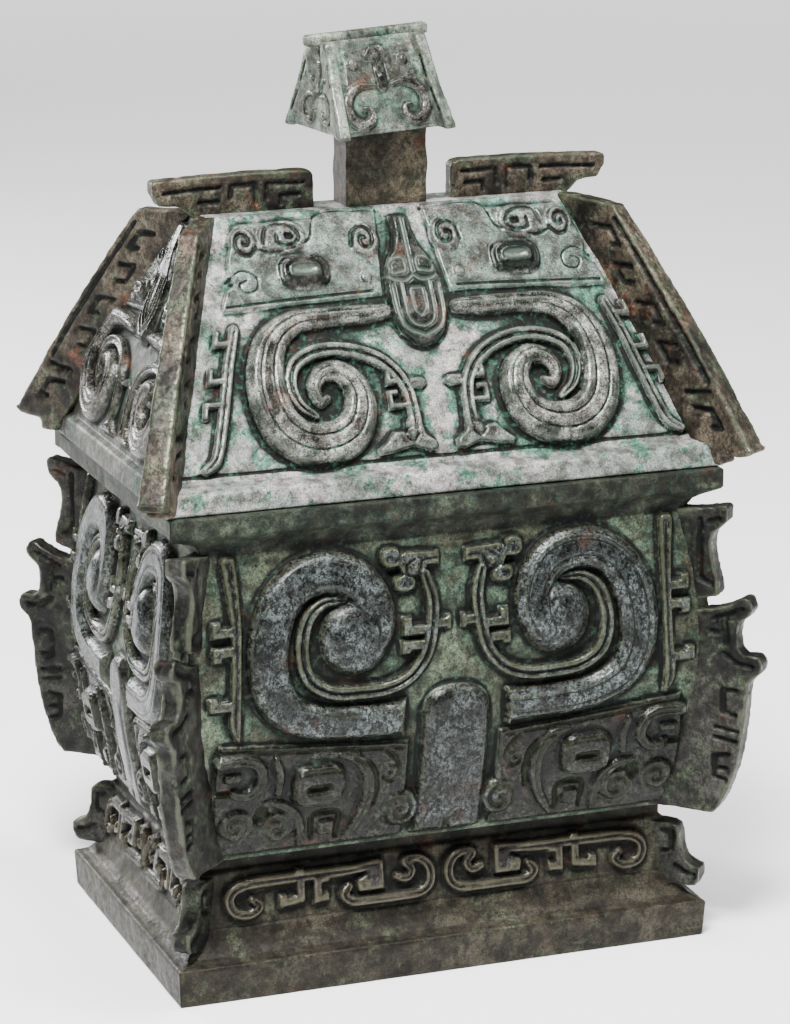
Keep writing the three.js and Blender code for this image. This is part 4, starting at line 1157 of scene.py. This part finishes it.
gloss = times(joined("ADD", raised, worn_edge), chosen("Shine"))
matt = joined("SUBTRACT", stirred(0.5, mottle, 0.6), gloss)
matt = joined("ADD", matt, times(joined("MAXIMUM", crusted, sunk), 0.2))
links.new(joined("MAXIMUM", joined("MINIMUM", matt, 0.95), 0.2), result.inputs["Roughness"])
bumps = joined("ADD", times(mottle, 0.6), times(grain, 0.1))
bumps = joined("ADD", bumps, times(pitted, -0.35))
links.new(bumps, result.inputs["Height"])
print("patina group with", len(patina.nodes), "nodes")

# %% [markdown]
# The lid's broad sides are the palest part, turquoise and pinkish grey with a black nose and eyes, and
# its gables are darker. The belly is olive green with grey-blue horns over a black jaw. The flanges are
# dark brown, rusty along the hips, and the foot is grey-brown. Each finish is the same group with its own
# colours, set on its sockets. A colour is written as the eye reads it, from 0 to 255. A part without
# black forms has no black skin.
# %% A finish for each part
depth_of_tone = 0.5


def linear(seen):
    """A colour as the eye reads it under these lights, in the shader's own scale."""
    return tuple(depth_of_tone * ((c / 255 + 0.055) / 1.055) ** 2.4 for c in seen) + (1,)


# Each finish's near-black earth colour also paints the shade in its hollows, round its forms and under the
# rim.
finishes = {
    "roof": {
        "Ground": (144, 150, 144), "Ground bloom": (190, 183, 182), "Relief": (54, 52, 48),
        "Relief bloom": (180, 178, 170), "Low relief": (84, 78, 74), "Black skin": (15, 14, 13),
        "Hollow": (12, 13, 9), "Crust": (74, 132, 110), "Rust": (134, 78, 50), "Edge": (140, 156, 142),
        "Bloom": 0.9, "Crust amount": 0.85, "Rust amount": 0.3, "Edge amount": 0.35, "Flecks": 0.35,
        "Pale lines": 0.5, "Shine": 0.4,
    },
    "gable": {
        "Ground": (76, 77, 70), "Ground bloom": (126, 124, 118), "Relief": (42, 39, 36),
        "Relief bloom": (136, 130, 124), "Low relief": (74, 69, 64), "Black skin": (18, 17, 16),
        "Hollow": (9, 9, 7), "Crust": (70, 106, 88), "Rust": (96, 62, 44), "Edge": (112, 118, 100),
        "Bloom": 0.9, "Crust amount": 0.6, "Rust amount": 0.5, "Edge amount": 0.3, "Flecks": 0.7,
        "Pale lines": 0.2, "Shine": 0.4,
    },
    "belly": {
        "Ground": (72, 73, 58), "Ground bloom": (112, 126, 104), "Relief": (50, 53, 53),
        "Relief bloom": (106, 114, 114), "Low relief": (72, 71, 65), "Black skin": (34, 32, 29),
        "Hollow": (8, 8, 6), "Crust": (78, 108, 90), "Rust": (76, 48, 36), "Edge": (118, 124, 92),
        "Bloom": 0.9, "Crust amount": 0.6, "Rust amount": 0.6, "Edge amount": 0.3, "Flecks": 0.85,
        "Pale lines": 0.12, "Shine": 0.24,
    },
    "foot": {
        "Ground": (44, 40, 30), "Ground bloom": (78, 73, 60), "Relief": (44, 41, 41),
        "Relief bloom": (80, 77, 76), "Low relief": (52, 47, 47), "Hollow": (12, 11, 9),
        "Crust": (94, 102, 80), "Rust": (84, 52, 38), "Edge": (118, 114, 90), "Bloom": 0.8,
        "Crust amount": 0.4, "Rust amount": 0.5, "Edge amount": 0.5, "Flecks": 0.7, "Shine": 0.2,
    },
    "flange": {
        "Ground": (14, 14, 13), "Ground bloom": (66, 65, 60), "Relief": (40, 38, 38),
        "Relief bloom": (70, 69, 64), "Low relief": (60, 58, 52), "Hollow": (6, 6, 5),
        "Crust": (92, 108, 80), "Rust": (84, 54, 42), "Edge": (106, 110, 92), "Bloom": 0.9,
        "Crust amount": 0.45, "Rust amount": 0.6, "Edge amount": 0.55, "Flecks": 1.0, "Shine": 0.2,
    },
    "hip": {
        "Ground": (36, 31, 26), "Ground bloom": (108, 97, 82), "Relief": (46, 42, 39),
        "Relief bloom": (76, 72, 64), "Low relief": (60, 54, 48), "Hollow": (8, 7, 6),
        "Crust": (104, 122, 94), "Rust": (122, 74, 52), "Edge": (104, 116, 92), "Bloom": 0.9,
        "Crust amount": 0.5, "Rust amount": 0.8, "Edge amount": 0.35, "Flecks": 1.0, "Shine": 0.2,
    },
    "knob": {
        "Ground": (84, 92, 82), "Ground bloom": (168, 174, 160), "Relief": (30, 29, 27),
        "Relief bloom": (152, 148, 140), "Low relief": (90, 86, 80), "Black skin": (26, 25, 23),
        "Hollow": (18, 19, 14), "Crust": (92, 130, 110), "Rust": (106, 68, 52), "Edge": (130, 142, 126),
        "Bloom": 0.9, "Crust amount": 0.7, "Rust amount": 0.5, "Edge amount": 0.3, "Flecks": 0.5,
        "Pale lines": 0.3, "Shine": 0.26,
    },
    "stem": {
        "Ground": (14, 12, 10), "Ground bloom": (100, 92, 74), "Relief": (44, 40, 37),
        "Relief bloom": (74, 70, 62), "Low relief": (56, 52, 46), "Hollow": (14, 13, 11),
        "Crust": (88, 98, 74), "Rust": (92, 56, 38), "Edge": (90, 96, 78), "Bloom": 0.9,
        "Crust amount": 0.6, "Rust amount": 0.9, "Edge amount": 0.3, "Flecks": 0.8, "Shine": 0.16,
    },
}


def bronze(name, settings):
    """The material of one finish: the patina group with its own settings."""
    material = bpy.data.materials.new(f"{name}_bronze")
    material.use_nodes = True
    tree = material.node_tree
    shader = tree.nodes["Principled BSDF"]
    layer = tree.nodes.new("ShaderNodeGroup")
    layer.node_tree = patina
    for label, value in settings.items():
        layer.inputs[label].default_value = linear(value) if isinstance(value, tuple) else value
    bump = tree.nodes.new("ShaderNodeBump")
    bump.inputs["Strength"].default_value = 0.8
    bump.inputs["Distance"].default_value = 0.0004
    tree.links.new(layer.outputs["Height"], bump.inputs["Height"])
    tree.links.new(bump.outputs["Normal"], shader.inputs["Normal"])
    tree.links.new(layer.outputs["Color"], shader.inputs["Base Color"])
    tree.links.new(layer.outputs["Roughness"], shader.inputs["Roughness"])
    shader.inputs["Metallic"].default_value = 0.3
    shader.inputs["IOR"].default_value = 1.3
    return material


material_of = {name: bronze(name, settings) for name, settings in finishes.items()}
print("finishes:", ", ".join(material_of))

# %% [markdown]
# Every piece takes its finish and rides on the object's one body, and the plain solid it stands for is
# hidden.
# %% Finish the pieces and tie them to the frame
lid_parts = ("roof", "knob", "stem", "crown", "lip", "hip_flange", "ridge_flange")
for name, finish in finish_of.items():
    piece = bpy.data.objects[name]
    piece.data.materials.clear()
    piece.data.materials.append(material_of[finish])
    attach(piece, "root")
    on_lid = any(part in name for part in lid_parts)
    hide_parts("lid" if on_lid else "vessel_body")
triangles = sum(len(p.vertices) - 2 for name in finish_of for p in bpy.data.objects[name].data.polygons)
print(len(finish_of), "pieces with", triangles, "triangles")

# %% [markdown]
# A pale floor and large soft lights, as on a studio table. The floor also glows, faintly near the object
# and more far off: painted light that makes the far floor a white backdrop. The brightest stands high on
# the left, and a second one behind on the left draws the gloss along the side, as on polished relief.
# %% Floor, lights and camera
bpy.ops.object.select_all(action="DESELECT")
bpy.ops.mesh.primitive_plane_add(size=14, location=(0, 0, 0))
ground_plane = bpy.context.object
ground_plane.name = "studio_floor"
paper = bpy.data.materials.new("studio_paper")
paper.use_nodes = True
paper_shader = paper.node_tree.nodes["Principled BSDF"]
paper_shader.inputs["Base Color"].default_value = (0.9, 0.9, 0.9, 1)
paper_shader.inputs["Roughness"].default_value = 0.9
# Painted light: the floor glows, faintly near the object and brightly far off, so the far floor reads as a
# white backdrop.
paper_shader.inputs["Emission Color"].default_value = (1, 1, 1, 1)
floor_place = paper.node_tree.nodes.new("ShaderNodeTexCoord")
far_off = paper.node_tree.nodes.new("ShaderNodeVectorMath")
far_off.operation = "LENGTH"
glow = paper.node_tree.nodes.new("ShaderNodeMapRange")
for label, value in {"From Min": 0.4, "From Max": 3.5, "To Min": 0.12, "To Max": 1.1}.items():
    glow.inputs[label].default_value = value
paper.node_tree.links.new(floor_place.outputs["Object"], far_off.inputs[0])
paper.node_tree.links.new(far_off.outputs["Value"], glow.inputs["Value"])
paper.node_tree.links.new(glow.outputs["Result"], paper_shader.inputs["Emission Strength"])
ground_plane.data.materials.append(paper)

aim = Vector((6.2, 0, 183.75)) * millimetre


def soft_light(name, azimuth, elevation, distance, size, power):
    """A square light that looks at the object from an azimuth, in degrees from straight in front."""
    a, e = math.radians(azimuth), math.radians(elevation)
    way = Vector((math.sin(a) * math.cos(e), -math.cos(a) * math.cos(e), math.sin(e)))
    lamp = bpy.data.lights.new(name, "AREA")
    lamp.size = size
    lamp.energy = power
    made = bpy.data.objects.new(name, lamp)
    made.location = aim + way * distance
    made.rotation_euler = (-way).to_track_quat("-Z", "Y").to_euler()
    bpy.context.scene.collection.objects.link(made)


soft_light("high_left", -32, 56, 1.7, 0.45, 98)
soft_light("overhead", 24, 76, 1.6, 0.35, 26)
soft_light("behind_left", -152, 18, 1.8, 0.45, 40)
soft_light("right_fill", 64, 40, 2.0, 0.8, 20)
world = bpy.data.worlds.new("studio")
world.use_nodes = True
world.node_tree.nodes["Background"].inputs["Color"].default_value = (1, 1, 1, 1)
world.node_tree.nodes["Background"].inputs["Strength"].default_value = 0.22
bpy.context.scene.world = world

camera_azimuth, camera_elevation, camera_roll = (math.radians(d) for d in (20.25, 14.87, 0.25))
camera_distance = 1.655
picture_height = 1024
focal_pixels = 3785.0
look = Vector((
    math.sin(camera_azimuth) * math.cos(camera_elevation),
    math.cos(camera_azimuth) * math.cos(camera_elevation),
    -math.sin(camera_elevation),
))
lens = bpy.data.cameras.new("camera")
lens.sensor_width = 36
lens.lens = focal_pixels / picture_height * lens.sensor_width
lens.clip_start = 0.05
camera = bpy.data.objects.new("camera", lens)
camera.location = aim - look * camera_distance
turned = look.to_track_quat("-Z", "Y").to_matrix() @ Matrix.Rotation(-camera_roll, 3, "Z")
camera.rotation_euler = turned.to_euler()
bpy.context.scene.collection.objects.link(camera)
bpy.context.scene.camera = camera
print("lens", round(lens.lens, 1), "mm")
